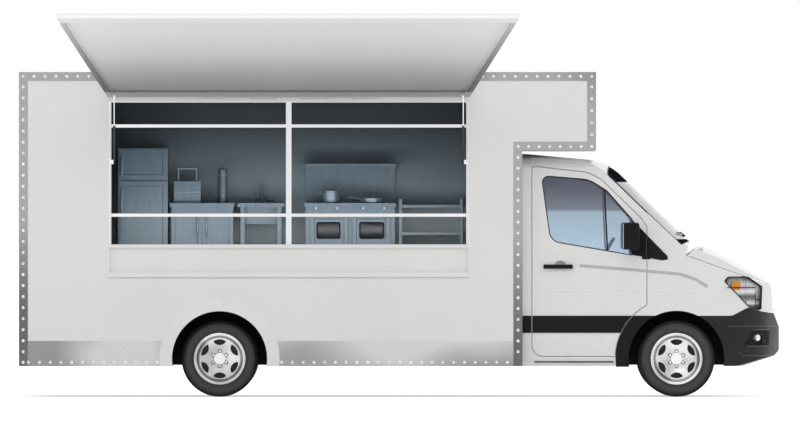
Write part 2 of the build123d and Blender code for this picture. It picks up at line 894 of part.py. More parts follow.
opening = block(openingRearX, openingFrontX, -outY, -900, openingBottomZ, openingTopZ)
save("box_side_left", makeSide(1))
save("box_side_right", makeSide(-1) - opening)
floorBottomZ = floorTopZ - floorThick
save("box_floor", block(boxRearX + boxWall, boxFrontX - boxWall, -innerY, innerY, floorBottomZ, floorTopZ))
roofSkinY = boxHalfWidth - trimWidth - trimGap
roof = block(boxRearX + boxWall, lutonFrontX - boxWall, -innerY, innerY, boxTopZ - boxWall, boxTopZ)
roof += block(boxRearX + trimWidth + trimGap, lutonFrontX - trimWidth - trimGap, -roofSkinY, roofSkinY,
              boxTopZ, boxTopZ + trimProud)
save("box_roof", roof)
front = block(boxFrontX - boxWall, boxFrontX, -innerY, innerY, floorBottomZ, lutonBottomZ)
front += block(boxFrontX - boxWall, lutonFrontX, -innerY, innerY, lutonBottomZ, lutonBottomZ + boxWall)
front += block(lutonFrontX - boxWall, lutonFrontX, -innerY, innerY, lutonBottomZ, boxTopZ)
save("box_front", front)

doorBottomZ = floorTopZ
lampBoxNearY = 880
lampBoxFarY = 980
lampBoxLowZ = 560
lampBoxHighZ = 860
lampBoxDepth = 30
rear = block(boxRearX, boxRearX + boxWall, -innerY, innerY, boxBottomZ, boxTopZ)
rear -= block(boxRearX - 5, boxRearX + boxWall + 5, -rearDoorHalfWidth, rearDoorHalfWidth, 0, rearDoorTopZ)
rearLamps = []
for side in (1, -1):
    pocket = sideBlock(side, boxRearX - 10, boxRearX + lampBoxDepth, lampBoxNearY, lampBoxFarY, lampBoxLowZ,
                       lampBoxHighZ)
    rear -= pocket
    rearLamps.append(pocket & block(boxRearX - trimProud, boxRearX + lampBoxDepth, -outY, outY, 0, roomAbove))
hingeY = rearDoorHalfWidth - rearDoorGap / 2
hingeLevels = (1100, 1800, 2500)
hingeHalf = 60
hingeLeafSpan = 36
rearDoor = block(boxRearX, boxRearX + boxWall, -rearDoorHalfWidth + rearDoorGap, rearDoorHalfWidth - rearDoorGap,
                 doorBottomZ + rearDoorGap, rearDoorTopZ - rearDoorGap)
for z in hingeLevels:
    pin = rodAlongZ(rearHingeX, hingeY, rearHingeRadius / 2, z - hingeHalf, z + hingeHalf)
    rear += rodAlongZ(rearHingeX, hingeY, rearHingeRadius, z - hingeHalf, z - 1) + pin
    rear += block(boxRearX - 4, boxRearX, hingeY, hingeY + hingeLeafSpan, z - hingeHalf, z - 1)
    leaf = rodAlongZ(rearHingeX, hingeY, rearHingeRadius, z, z + hingeHalf)
    leaf += block(boxRearX - 4, boxRearX, hingeY - hingeLeafSpan, hingeY, z, z + hingeHalf)
    rearDoor += leaf - rodAlongZ(rearHingeX, hingeY, rearHingeRadius / 2 + bearingGap, z - 1, z + hingeHalf + 1)
save("box_rear", rear)
save("rear_door", rearDoor)
save("rear_lamps", *rearLamps)

stepWidth = rearDoorHalfWidth - 10
cheek = 10
stepFrontX = railRearX - 10
treadThick = 30
treadLevels = (380, 620)
steps = block(stepFrontX - cheek, stepFrontX, -stepWidth, stepWidth, treadLevels[0], floorBottomZ)
for z in treadLevels:
    steps += block(boxRearX, stepFrontX, -stepWidth, stepWidth, z, z + treadThick)
for side in (1, -1):
    steps += sideBlock(side, boxRearX + boxWall, stepFrontX, stepWidth - cheek, stepWidth, treadLevels[0], floorBottomZ)
save("rear_steps", steps)


def makeTrim():
    outline = offset(face(boxSideRows), amount=trimProud, kind=Kind.INTERSECTION)
    trim = flatPrism(outline, -boxHalfWidth - trimProud, boxHalfWidth + trimProud)
    trim -= sidePrism(boxSideRows, -boxHalfWidth, boxHalfWidth)
    windowSideRows = [
        (boxRearX + trimWidth, 0, 0),
        (boxRearX + trimWidth, boxTopZ - trimWidth, 0),
        (lutonFrontX - trimWidth, boxTopZ - trimWidth, 0),
        (lutonFrontX - trimWidth, lutonBottomZ + trimWidth, 0),
        (boxFrontX - trimWidth, lutonBottomZ + trimWidth, 0),
        (boxFrontX - trimWidth, 0, 0),
    ]
    middleY = boxHalfWidth - trimWidth
    trim -= sidePrism(windowSideRows, -outY, outY)
    for lowX, highX, lowZ, highZ in (
        (boxRearX + trimWidth, lutonFrontX - trimWidth, boxTopZ - 10, boxTopZ + 10),
        (boxRearX - 10, boxRearX + 10, 0, boxTopZ - trimWidth),
        (lutonFrontX - 10, lutonFrontX + 10, lutonBottomZ + trimWidth, boxTopZ - trimWidth),
        (boxFrontX + trimWidth, lutonFrontX - trimWidth, lutonBottomZ - 10, lutonBottomZ + 10),
        (boxFrontX - 10, boxFrontX + 10, 0, lutonBottomZ - trimWidth),
    ):
        trim -= block(lowX, highX, -middleY, middleY, lowZ, highZ)
    return trim - block(boxRearX - 50, noseReachX, -outY, outY, 0, boxBottomZ)


save("box_trim", makeTrim())


def makeSkirt(side):
    band = sideBlock(side, boxRearX + trimWidth, boxFrontX - trimWidth, boxHalfWidth, boxHalfWidth + skirtProud,
                     boxBottomZ, skirtTopZ)
    return band - rodAlongY(rearAxleX, axleZ, rearFlareRadius, -outY, outY)


save("box_skirts", makeSkirt(1), makeSkirt(-1))


def makeFlare(side):
    rows = [
        (rearArchRadius, boxHalfWidth, 0),
        (rearArchRadius, boxHalfWidth + flareProud, 4),
        (rearArchRadius + 40, boxHalfWidth + flareProud, 60),
        (rearFlareRadius, boxHalfWidth + 3, 0),
        (rearFlareRadius, boxHalfWidth, 0),
    ]
    ring = Pos(rearAxleX, 0, axleZ) * spun([(a, side * b, r) for a, b, r in rows])
    return ring - block(rearAxleX - 900, rearAxleX + 900, -outY, outY, -900, boxBottomZ)


save("rear_arch_flares", makeFlare(1), makeFlare(-1))


# serving side

frameInnerY = frameOuterY + frameDepth
midX = (openingRearX + openingFrontX) / 2 - 0.5
jamb = 16
strutXs = (("rear", openingRearX + strutInset, -1), ("front", openingFrontX - strutInset, 1))
footZ = counterTopZ - rebateDepth
frameSolid = block(openingRearX, openingFrontX, frameOuterY, frameInnerY, footZ, openingTopZ)
frameSolid -= block(openingRearX + jamb, openingFrontX - jamb, -outY, frameInnerY + 1, footZ - 1,
                    openingTopZ - jamb)
for z in (upperBarZ, lowerBarZ):
    frameSolid += block(openingRearX, openingFrontX, frameOuterY, frameInnerY, z, z + barWidth)
mullionHalf = mullionWidth / 2
frameSolid += block(midX - mullionHalf, midX + mullionHalf, frameOuterY, frameInnerY, footZ, openingTopZ)
for name, x, way in strutXs:
    edgeX = openingRearX if way < 0 else openingFrontX
    pinSpan = sorted((x - way * strutEyeClear, edgeX))
    bracketSpan = sorted((x + way * strutEyeClear, edgeX))
    frameSolid += rodAlongX(strutLowerY, strutLowerZ, strutPinRadius, *pinSpan)
    frameSolid += block(*bracketSpan, strutLowerY - strutBracketOut, frameOuterY, strutLowerZ - strutBracketHalf,
                        strutLowerZ + strutBracketHalf)
save("serving_frame", frameSolid)

paneY = frameOuterY + 16
panes = []
for lowX, highX in ((openingRearX + jamb, midX - mullionWidth / 2), (midX + mullionWidth / 2, openingFrontX - jamb)):
    panes.append(block(lowX, highX, paneY, paneY + glassThick, upperBarZ + barWidth, openingTopZ - jamb))
    panes.append(block(lowX, highX, paneY, paneY + glassThick, lowerBarZ + barWidth, upperBarZ))
save("serving_glass", *panes)

counter = block(openingRearX, openingFrontX, counterOuterY, -boxHalfWidth + counterDepth, counterTopZ - counterThick,
                counterTopZ)
counter += block(openingRearX, openingFrontX, -boxHalfWidth + recessDepth, -innerY, openingBottomZ,
                 counterTopZ - counterThick)
counter += block(openingRearX, openingFrontX, -boxHalfWidth - ledgeProud, -innerY, ledgeBottomZ, ledgeTopZ)
# a rebate in the counter seats the frame's foot
counter -= block(openingRearX, openingFrontX, frameOuterY - sealGap, frameInnerY + sealGap, footZ, counterTopZ)
save("serving_counter", counter)


# hatch and struts

def hatchPlace(shape):
    return Pos(0, hatchHingeY, hatchHingeZ) * Rot(-hatchTilt, 0, 0) * shape


def hatchOutline(low, high, margin):
    def halfAt(u):
        return hatchHalfInner + (hatchHalfOuter - hatchHalfInner) * u / hatchLength - margin
    return [(midX - halfAt(low), -low, 0), (midX + halfAt(low), -low, 0),
            (midX + halfAt(high), -high, 0), (midX - halfAt(high), -high, 0)]


hatch = planPrism(hatchOutline(hatchHingeGap, hatchLength, 0), 0, hatchThick)
hatch -= planPrism(hatchOutline(hatchHingeGap + hatchInnerRim, hatchLength - hatchRim, hatchSideRim), -5,
                   hatchThick - hatchTopThick)
barrelCount = 7
barrelStart = midX - (barrelCount * hingeBarrelLength + (barrelCount - 1) * hingeBarrelGap) / 2
wallHinge = rodAlongX(hatchHingeY, hatchHingeZ, hingePinRadius, barrelStart,
                      barrelStart + barrelCount * hingeBarrelLength + (barrelCount - 1) * hingeBarrelGap)
wallHinge += block(barrelStart, midX * 2 - barrelStart, -boxHalfWidth - hingeLeafThick, -boxHalfWidth,
                   openingTopZ, openingTopZ + hingeLeafHeight)
for k in range(barrelCount):
    lowX = barrelStart + k * (hingeBarrelLength + hingeBarrelGap)
    highX = lowX + hingeBarrelLength
    if k % 2 == 0:
        wallHinge += rodAlongX(hatchHingeY, hatchHingeZ, hingeBarrelRadius, lowX, highX)
        wallHinge += block(lowX, highX, hatchHingeY, -boxHalfWidth, hatchHingeZ - hingeWebHalf, hatchHingeZ + hingeWebHalf)
    else:
        barrel = rodAlongX(0, 0, hingeBarrelRadius, lowX, highX)
        barrel += block(lowX, highX, -hatchHingeGap - hingeLeafReach, 0, -hingeLeafThick, 0)
        hatch += barrel - rodAlongX(0, 0, hingePinRadius + bearingGap, lowX - 1, highX + 1)


def strutTop(along, below):
    tilt = radians(hatchTilt)
    return (hatchHingeY - along * cos(tilt) - below * sin(tilt), hatchHingeZ + along * sin(tilt) - below * cos(tilt))


for name, x, way in strutXs:
    plateFar = x + way * (strutEyeWidth / 2 + 12)
    plateNear = x + way * (strutEyeWidth / 2 + 6)
    hatch -= block(*sorted((x - way * strutChannelHalf, plateNear)), -hatchHingeGap - hatchInnerRim - 5,
                   -hatchHingeGap + 5, -5, hatchThick - hatchTopThick)
    hatch += block(*sorted((plateNear, plateFar)), -strutEyeAlong - 16, -strutEyeAlong + 16, -strutEyeBelow - 8, 4)
    hatch += rodAlongX(-strutEyeAlong, -strutEyeBelow, strutPinRadius,
                       *sorted((x + way * (strutEyeWidth / 2 + 0.5), plateFar)))
save("hatch", hatchPlace(hatch))
save("hatch_hinge", wallHinge)

topY, topZ = strutTop(strutEyeAlong, strutEyeBelow)
strutSpan = ((topY - strutLowerY) ** 2 + (topZ - strutLowerZ) ** 2) ** 0.5
strutLean = degrees(atan2(strutLowerY - topY, topZ - strutLowerZ))


def strutPlace(x, shape):
    return Pos(x, strutLowerY, strutLowerZ) * Rot(strutLean, 0, 0) * shape


for name, x, way in strutXs:
    tubeMiddle = (strutCylinderLength + strutNeck) / 2
    tube = Pos(0, 0, tubeMiddle) * Cylinder(strutCylinderRadius, strutCylinderLength - strutNeck)
    tube += Pos(0, 0, strutNeck / 2 + 2) * Cylinder(strutNeckRadius, strutNeck)
    eye = rodAlongX(0, 0, strutEyeRadius, -strutEyeWidth / 2, strutEyeWidth / 2)
    tube += eye
    tube -= rodAlongX(0, 0, strutPinRadius + bearingGap, -50, 50)
    tube -= Pos(0, 0, tubeMiddle + strutNeck / 2) * Cylinder(strutRodRadius + bearingGap,
                                                            strutCylinderLength - strutNeck)
    save(f"strut_cylinder_{name}", strutPlace(x, tube))
    rod = Pos(0, 0, strutSpan - strutRodLength / 2) * Cylinder(strutRodRadius, strutRodLength)
    rod += Pos(0, 0, strutSpan) * eye
    save(f"strut_rod_{name}", strutPlace(x, rod))


# kitchen, along the left wall

unitBackY = innerY
unitFrontY = 400
worktopZ = 1835
worktopThick = 38
worktopLowZ = worktopZ - worktopThick
unitWall = 25
kickHeight = 60

fridgeLowX = -2687
fridgeHighX = -2214
fridgeTopZ = 2356
fridgeSplitZ = 2053
fridgeWall = 50
fridgeDoorY = unitFrontY + 40
fridgeDoorGap = 4
pullStandOff = 14
pullThick = 16
pullWidth = 20
pullLowX = fridgeLowX + 24
# door's lower edge, door's upper edge, pull's lower end, pull's upper end
fridgeDoorRows = (
    (floorTopZ + kickHeight, fridgeSplitZ - fridgeDoorGap, 1500, 1900),
    (fridgeSplitZ + fridgeDoorGap, fridgeTopZ, 2110, 2300),
)


def makeFridgeDoor(lowZ, highZ, pullLowZ, pullHighZ):
    door = block(fridgeLowX, fridgeHighX, unitFrontY, fridgeDoorY, lowZ, highZ)
    pullY = unitFrontY - pullStandOff
    door += block(pullLowX, pullLowX + pullWidth, pullY - pullThick, pullY, pullLowZ, pullHighZ)
    for z in (pullLowZ, pullHighZ - pullWidth):
        door += block(pullLowX, pullLowX + pullWidth, pullY, unitFrontY, z, z + pullWidth)
    return door


fridge = block(fridgeLowX, fridgeHighX, fridgeDoorY, unitBackY, floorTopZ, fridgeTopZ)
for lowZ, highZ in ((floorTopZ + kickHeight, fridgeSplitZ), (fridgeSplitZ, fridgeTopZ)):
    fridge -= block(fridgeLowX + fridgeWall, fridgeHighX - fridgeWall, unitFrontY, unitBackY - fridgeWall,
                    lowZ + fridgeWall / 2, highZ - fridgeWall / 2)
save("fridge", fridge, *[makeFridgeDoor(*row) for row in fridgeDoorRows])


# four legs, with each shelf cut round them by the seat's gap
def legsAndShelves(lowX, highX, lowY, highY, width, topZ, shelfLevels, shelfThick):
    corners = [(x, y) for x in (lowX, highX - width) for y in (lowY, highY - width)]
    legs = [block(x, x + width, y, y + width, floorTopZ, topZ) for x, y in corners]
    shelves = []
    for z in shelfLevels:
        shelf = block(lowX, highX, lowY, highY, z, z + shelfThick)
        for x, y in corners:
            shelf -= block(x - sealGap, x + width + sealGap, y - sealGap, y + width + sealGap,
                           z - 1, z + shelfThick + 1)
        shelves.append(shelf)
    return legs + shelves


cabinetLowX = -2175
cabinetHighX = -1590
cabinetTopLowX = -2195
cabinetTopHighX = -1580
cabinetFrontY = unitFrontY + 20
cabinetSplitX = -1885
cabinetSplitWidth = 5
cabinet = block(cabinetLowX, cabinetHighX, cabinetFrontY, unitBackY, floorTopZ, worktopLowZ)
cabinet -= block(cabinetLowX + unitWall, cabinetHighX - unitWall, cabinetFrontY + unitWall, unitBackY + 5,
                 floorTopZ + unitWall, worktopLowZ)
cabinet += block(cabinetTopLowX, cabinetTopHighX, unitFrontY, unitBackY, worktopLowZ, worktopZ)
cabinet -= block(cabinetSplitX, cabinetSplitX + cabinetSplitWidth, unitFrontY, cabinetFrontY + 6,
                 floorTopZ + 80, worktopZ - 100)

sinkLowX = -1551
sinkHighX = -1100
bowlLowX = -1480
bowlHighX = -1170
bowlLowY = unitFrontY + 120
bowlHighY = unitBackY - 140
bowlWall = 6
bowlDepth = 200
tapX = -1325
tapY = unitBackY - 90
tapHeight = 210
tapReach = 210
tapRadius = 14
spoutRadius = 12
sinkTop = block(sinkLowX, sinkHighX, unitFrontY, unitBackY, worktopLowZ, worktopZ)
sinkTop -= block(bowlLowX, bowlHighX, bowlLowY, bowlHighY, worktopLowZ - 5, worktopZ + 5)
basin = block(bowlLowX - bowlWall, bowlHighX + bowlWall, bowlLowY - bowlWall, bowlHighY + bowlWall,
              worktopZ - bowlDepth, worktopLowZ)
basin -= block(bowlLowX, bowlHighX, bowlLowY, bowlHighY, worktopZ - bowlDepth + bowlWall, worktopZ)
tap = rodAlongZ(tapX, tapY, tapRadius, worktopZ, worktopZ + tapHeight)
tap += rodAlongY(tapX, worktopZ + tapHeight - 10, spoutRadius, tapY - tapReach, tapY + 10)
sinkLegs = legsAndShelves(sinkLowX + 30, sinkHighX - 30, unitFrontY + 20, unitBackY - 20, 40,
                          worktopLowZ - sealGap, (1120,), 25)

rackLowX = -10
rackHighX = 600
rackTopZ = 1873
rackLevels = (1210, 1530, 1790)
rack = legsAndShelves(rackLowX, rackHighX, unitFrontY + 60, unitBackY, 30, rackTopZ, rackLevels, 28)
save("kitchen_tables", cabinet, sinkTop + basin + tap, *sinkLegs, *rack)

cookerLowX = -912
cookerHighX = -38
cookerInset = 12
cookerFrontY = unitFrontY + 30
cookerLegHeight = 120
cookerLegWidth = 40
hoodTopZ = 2212
hoodThick = 34
hoodReach = 330
backPanelThick = 40
ovenDoorCount = 2
ovenDoorWidth = 354
ovenDoorPitch = 400
ovenDoorLowZ = 1130
ovenDoorHighZ = 1560
ovenDoorProud = 24
bodyLowX = cookerLowX + cookerInset
bodyHighX = cookerHighX - cookerInset
cooker = block(bodyLowX, bodyHighX, cookerFrontY, unitBackY, floorTopZ + cookerLegHeight, worktopLowZ)
cooker -= block(bodyLowX + unitWall, bodyHighX - unitWall, cookerFrontY + unitWall, unitBackY - unitWall,
                floorTopZ + cookerLegHeight - 20, worktopLowZ)
cooker += block(cookerLowX, cookerHighX, unitFrontY, unitBackY, worktopLowZ, worktopZ)
cooker += block(bodyLowX, bodyHighX, unitBackY - backPanelThick, unitBackY, worktopZ, hoodTopZ)
cooker += block(cookerLowX, cookerHighX, unitBackY - hoodReach, unitBackY, hoodTopZ - hoodThick, hoodTopZ)
for x in (cookerLowX + cookerLegWidth, cookerHighX - 2 * cookerLegWidth):
    for y in (cookerFrontY, unitBackY - cookerLegWidth):
        cooker += block(x, x + cookerLegWidth, y, y + cookerLegWidth, floorTopZ, floorTopZ + cookerLegHeight + 40)
for k in range(ovenDoorCount):
    lowX = cookerLowX + 60 + k * ovenDoorPitch
    cooker += block(lowX, lowX + ovenDoorWidth, cookerFrontY - ovenDoorProud, cookerFrontY, ovenDoorLowZ,
                    ovenDoorHighZ)
save("cooker", cooker)

grillLowX = -2157
grillHighX = -1901
grillLowY = 560
grillHighY = 900
grillTopZ = 2043
urnX = -1693
urnY = 700
urnRadius = 46
urnTopZ = 2150
grill = block(grillLowX, grillHighX, grillLowY, grillHighY, worktopZ, grillTopZ)
urn = rodAlongZ(urnX, urnY, urnRadius, worktopZ, urnTopZ)
save("appliances", grill, urn)
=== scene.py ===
import json
from math import cos, pi, radians, sin
import bpy
import bmesh
from mathutils import Matrix, Vector
from mathutils.bvhtree import BVHTree

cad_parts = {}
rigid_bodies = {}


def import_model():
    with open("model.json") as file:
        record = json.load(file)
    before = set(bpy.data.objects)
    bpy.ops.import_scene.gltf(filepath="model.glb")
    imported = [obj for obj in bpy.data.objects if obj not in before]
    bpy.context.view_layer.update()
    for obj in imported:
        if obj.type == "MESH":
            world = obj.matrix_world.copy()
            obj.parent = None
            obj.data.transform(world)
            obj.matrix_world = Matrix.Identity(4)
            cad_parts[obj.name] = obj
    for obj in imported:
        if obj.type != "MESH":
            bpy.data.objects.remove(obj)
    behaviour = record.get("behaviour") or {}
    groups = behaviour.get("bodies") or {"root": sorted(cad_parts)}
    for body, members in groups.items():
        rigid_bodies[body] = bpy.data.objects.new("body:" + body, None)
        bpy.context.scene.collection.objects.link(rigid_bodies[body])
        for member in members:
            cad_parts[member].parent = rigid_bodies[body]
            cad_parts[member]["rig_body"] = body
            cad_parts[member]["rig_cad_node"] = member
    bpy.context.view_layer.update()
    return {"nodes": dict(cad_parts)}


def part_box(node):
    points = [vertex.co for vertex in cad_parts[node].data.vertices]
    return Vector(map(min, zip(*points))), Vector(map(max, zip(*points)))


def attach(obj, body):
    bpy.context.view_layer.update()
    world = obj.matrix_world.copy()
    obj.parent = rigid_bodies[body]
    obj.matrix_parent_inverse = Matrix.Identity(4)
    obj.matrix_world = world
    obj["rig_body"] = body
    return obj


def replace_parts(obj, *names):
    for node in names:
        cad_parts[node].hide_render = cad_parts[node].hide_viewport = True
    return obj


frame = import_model()
nodes = frame["nodes"]
box = {name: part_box(name) for name in nodes}
print("frame loaded:", len(nodes), "nodes")


# small helpers for working by hand

def deselectAll():
    bpy.ops.object.select_all(action="DESELECT")


def onlySelect(piece):
    deselectAll()
    piece.select_set(True)
    bpy.context.view_layer.objects.active = piece


def called(piece, name):
    piece.name = name
    piece.data.name = name
    return piece


def settle(piece, name=None):
    # the place goes into the mesh, so patterns stay put
    onlySelect(piece)
    bpy.ops.object.transform_apply(location=True, rotation=True, scale=True)
    return called(piece, name) if name else piece


def inEdit(piece, work, choose=None, mode="VERT"):
    # choose picks faces, edges or points by place or normal, and everything is taken without it
    onlySelect(piece)
    bpy.ops.object.mode_set(mode="EDIT")
    bpy.ops.mesh.select_mode(type=mode)
    if choose is None:
        bpy.ops.mesh.select_all(action="SELECT")
    else:
        bpy.ops.mesh.select_all(action="DESELECT")
        mesh = bmesh.from_edit_mesh(piece.data)
        mesh.normal_update()
        for part in {"VERT": mesh.verts, "EDGE": mesh.edges, "FACE": mesh.faces}[mode]:
            if choose(part):
                part.select_set(True)
        mesh.select_flush_mode()
        bmesh.update_edit_mesh(piece.data)
    work()
    bpy.ops.object.mode_set(mode="OBJECT")
    return piece


def mend(piece):
    def work():
        bpy.ops.mesh.remove_doubles(threshold=0.00005)
        bpy.ops.mesh.normals_make_consistent(inside=False)
    return inEdit(piece, work)


def cleared(piece, kind, choose, mode):
    return inEdit(piece, lambda: bpy.ops.mesh.delete(type=kind), choose, mode)


def bevelled(piece, offset, steps=2, choose=None):
    if offset:
        inEdit(piece, lambda: bpy.ops.mesh.bevel(offset=offset, segments=steps, affect="EDGES"),
               choose, "EDGE")
    return piece


def circled(count, filled="NOTHING"):
    # a ring of points to be moved to where they belong
    deselectAll()
    bpy.ops.mesh.primitive_circle_add(vertices=count, radius=1, fill_type=filled)
    return bpy.context.object


def moved(piece, places):
    for corner, place in zip(piece.data.vertices, places):
        corner.co = place
    return piece


def slab(low, high, edge=0.0, steps=2):
    deselectAll()
    bpy.ops.mesh.primitive_cube_add(size=1, location=[(a + b) / 2 for a, b in zip(low, high)])
    piece = bpy.context.object
    piece.scale = [abs(b - a) for a, b in zip(low, high)]
    return bevelled(settle(piece), edge, steps)


def rod(start, end, radius, sides=24, edge=0.0):
    deselectAll()
    a, b = Vector(start), Vector(end)
    bpy.ops.mesh.primitive_cone_add(vertices=sides, radius1=radius, radius2=radius, depth=(b - a).length,
                                    location=(a + b) / 2, rotation=(b - a).to_track_quat("Z", "Y").to_euler())
    way = (b - a).normalized()
    return bevelled(settle(bpy.context.object), edge, 2,
                    lambda e: abs((e.verts[0].co - e.verts[1].co).normalized().dot(way)) < 0.5)


def plate(outline, half, edge=0.0):
    # a sheet drawn by its corners (x, z), then pulled across the truck
    piece = moved(circled(len(outline), "NGON"), [(x, -half, z) for x, z in outline])
    pull = {"value": (0, 2 * half, 0)}
    inEdit(piece, lambda: bpy.ops.mesh.extrude_region_move(TRANSFORM_OT_translate=pull))
    return bevelled(mend(piece), edge)


def spun(profile, centre, axis, steps=48):
    # profile is a closed ring of points (distance from the axis, height along it)
    way = Vector(axis).normalized()
    out = way.orthogonal().normalized()
    piece = moved(circled(len(profile)), [out * r + way * h for r, h in profile])
    inEdit(piece, lambda: bpy.ops.mesh.spin(steps=steps, angle=2 * pi, center=(0, 0, 0), axis=way))
    piece.location = centre
    return mend(settle(piece))


def copyOf(piece, name, shift=(0, 0, 0)):
    onlySelect(piece)
    bpy.ops.object.duplicate()
    twin = bpy.context.object
    twin.location = Vector(twin.location) + Vector(shift)
    return settle(twin, name)


def joined(name, pieces):
    deselectAll()
    for piece in pieces:
        piece.select_set(True)
    bpy.context.view_layer.objects.active = pieces[0]
    if len(pieces) > 1:
        bpy.ops.object.join()
    return called(bpy.context.object, name)


def modified(piece, kind, **settings):
    modifier = piece.modifiers.new(kind.lower(), kind)
    for key, value in settings.items():
        setattr(modifier, key, value)
    onlySelect(piece)
    bpy.ops.object.modifier_apply(modifier=modifier.name)
    return piece


def onBothSides(work):
    for side, word in ((1, "left"), (-1, "right")):
        work(side, word)


def dress(piece, key, body="chassis", angle=32):
    onlySelect(piece)
    bpy.ops.object.shade_smooth_by_angle(angle=radians(angle))
    piece.data.materials.clear()
    piece.data.materials.append(finish[key])
    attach(piece, body)
    return piece


# shader nodes

def fill(tree, node, values):
    # each socket takes a number, a colour or the link that drives it
    for label, value in values.items():
        socket = node.inputs[label]
        if isinstance(value, bpy.types.NodeSocket):
            tree.links.new(value, socket)
        elif socket.type == "RGBA":
            socket.default_value = (*value[:3], 1)
        else:
            socket.default_value = value


def addNode(tree, kind, values, **settings):
    node = tree.nodes.new("ShaderNode" + kind)
    for key, value in settings.items():
        setattr(node, key, value)
    fill(tree, node, values)
    return node


def mathNode(tree, operation, a, b=None, clamp=False):
    values = {0: a} if b is None else {0: a, 1: b}
    return addNode(tree, "Math", values, operation=operation, use_clamp=clamp).outputs[0]


def product(tree, *factors):
    whole = factors[0]
    for factor in factors[1:]:
        whole = mathNode(tree, "MULTIPLY", whole, factor)
    return whole


def noiseNode(tree, vector, scale, detail=4.0, rough=0.55):
    values = {"Vector": vector, "Scale": scale, "Detail": detail, "Roughness": rough}
    return addNode(tree, "TexNoise", values).outputs["Fac"]


def rangeNode(tree, value, low, high, toLow=0.0, toHigh=1.0):
    values = {"Value": value, "From Min": low, "From Max": high, "To Min": toLow, "To Max": toHigh}
    return addNode(tree, "MapRange", values).outputs["Result"]


def stepNode(tree, value, edge, wide=0.002, falling=False):
    # 0 below the edge and 1 above it, or the other way round
    ends = (1.0, 0.0) if falling else (0.0, 1.0)
    return rangeNode(tree, value, edge - wide, edge + wide, *ends)


def blendColours(tree, factor, a, b):
    return addNode(tree, "Mix", {0: factor, 6: a, 7: b}, data_type="RGBA").outputs[2]


def bumped(tree, height, strength, distance):
    values = {"Height": height, "Strength": strength, "Distance": distance}
    return addNode(tree, "Bump", values).outputs["Normal"]


def ramp(tree, value, stops):
    # stops are (place, colour), and a single number is a grey
    node = addNode(tree, "ValToRGB", {0: value})
    band = node.color_ramp
    while len(band.elements) < len(stops):
        band.elements.new(0.5)
    for element, (place, colour) in zip(band.elements, stops):
        element.position = place
        element.color = (*(colour if isinstance(colour, tuple) else (colour,) * 3), 1)
    return node.outputs["Color"]


def axesOf(tree, vector):
    return addNode(tree, "SeparateXYZ", {0: vector}).outputs


def mapped(tree, vector, scale=(1, 1, 1), turn=(0, 0, 0), move=(0, 0, 0)):
    values = {"Vector": vector, "Scale": scale, "Rotation": turn, "Location": move}
    return addNode(tree, "Mapping", values).outputs["Vector"]


def newGroup(name, numbers, outputs):
    # a group takes the place and a few numbers, and gives masks and values
    group = bpy.data.node_groups.new(name, "ShaderNodeTree")
    group.interface.new_socket(name="Vector", in_out="INPUT", socket_type="NodeSocketVector")
    for label, start in numbers.items():
        socket = group.interface.new_socket(name=label, in_out="INPUT", socket_type="NodeSocketFloat")
        socket.default_value = start
    for label in outputs:
        group.interface.new_socket(name=label, in_out="OUTPUT", socket_type="NodeSocketFloat")
    return group, group.nodes.new("NodeGroupInput").outputs, group.nodes.new("NodeGroupOutput")


def useGroup(tree, group, vector, **values):
    return addNode(tree, "Group", {"Vector": vector, **values}, node_tree=group).outputs


def buildBrushGroup():
    # long fine scratches, stretched by the mapping that feeds Vector
    group, start, end = newGroup("brushedGrain", {"Scale": 60.0}, ("Streak", "Cloud"))
    where, scale = start["Vector"], start["Scale"]
    fill(group, end, {"Streak": noiseNode(group, where, scale, 6.0, 0.7),
                      "Cloud": noiseNode(group, where, product(group, scale, 0.12), 2.0)})
    return group


def buildWearGroup():
    # bright worn corners, broken up by noise
    group, start, end = newGroup("edgeWear", {"Amount": 0.5}, ("Mask",))
    corner = rangeNode(group, addNode(group, "NewGeometry", {}).outputs["Pointiness"], 0.52, 0.62)
    patch = rangeNode(group, noiseNode(group, start["Vector"], 24.0, 5.0), 0.4, 0.7)
    fill(group, end, {"Mask": mathNode(group, "MULTIPLY", product(group, corner, patch), start["Amount"],
                                       True)})
    return group


def buildFilmGroup():
    # road film, thick near the ground and thin above
    group, start, end = newGroup("roadFilm", {"Top": 1.2, "Amount": 0.3}, ("Mask",))
    height = mathNode(group, "DIVIDE", axesOf(group, start["Vector"])["Z"], start["Top"])
    low = mathNode(group, "SUBTRACT", 1.0, height, True)
    patch = rangeNode(group, noiseNode(group, start["Vector"], 3.0, 6.0, 0.62), 0.35, 0.8)
    film = product(group, mathNode(group, "POWER", low, 1.6), patch)
    fill(group, end, {"Mask": mathNode(group, "MULTIPLY", film, start["Amount"], True)})
    return group


def buildGrainGroup():
    # moulded plastic and rubber skin
    group, start, end = newGroup("mouldedGrain", {"Scale": 400.0}, ("Height", "Tone"))
    cells = addNode(group, "TexVoronoi", {"Vector": start["Vector"], "Scale": start["Scale"]},
                    feature="SMOOTH_F1")
    fill(group, end, {"Height": cells.outputs["Distance"],
                      "Tone": noiseNode(group, start["Vector"], 7.0, 3.0)})
    return group


# inner faces of the box walls, just past them
hair = 0.003
room = {"halfWidth": box["box_floor"][1].y + hair, "topZ": box["box_roof"][0].z + hair,
        "backX": box["box_floor"][0].x - hair, "frontX": box["box_floor"][1].x + hair,
        "lutonX": box["box_roof"][1].x + hair, "lutonZ": box["box_rear"][1].z - 0.691,
        "floorZ": box["box_floor"][1].z}


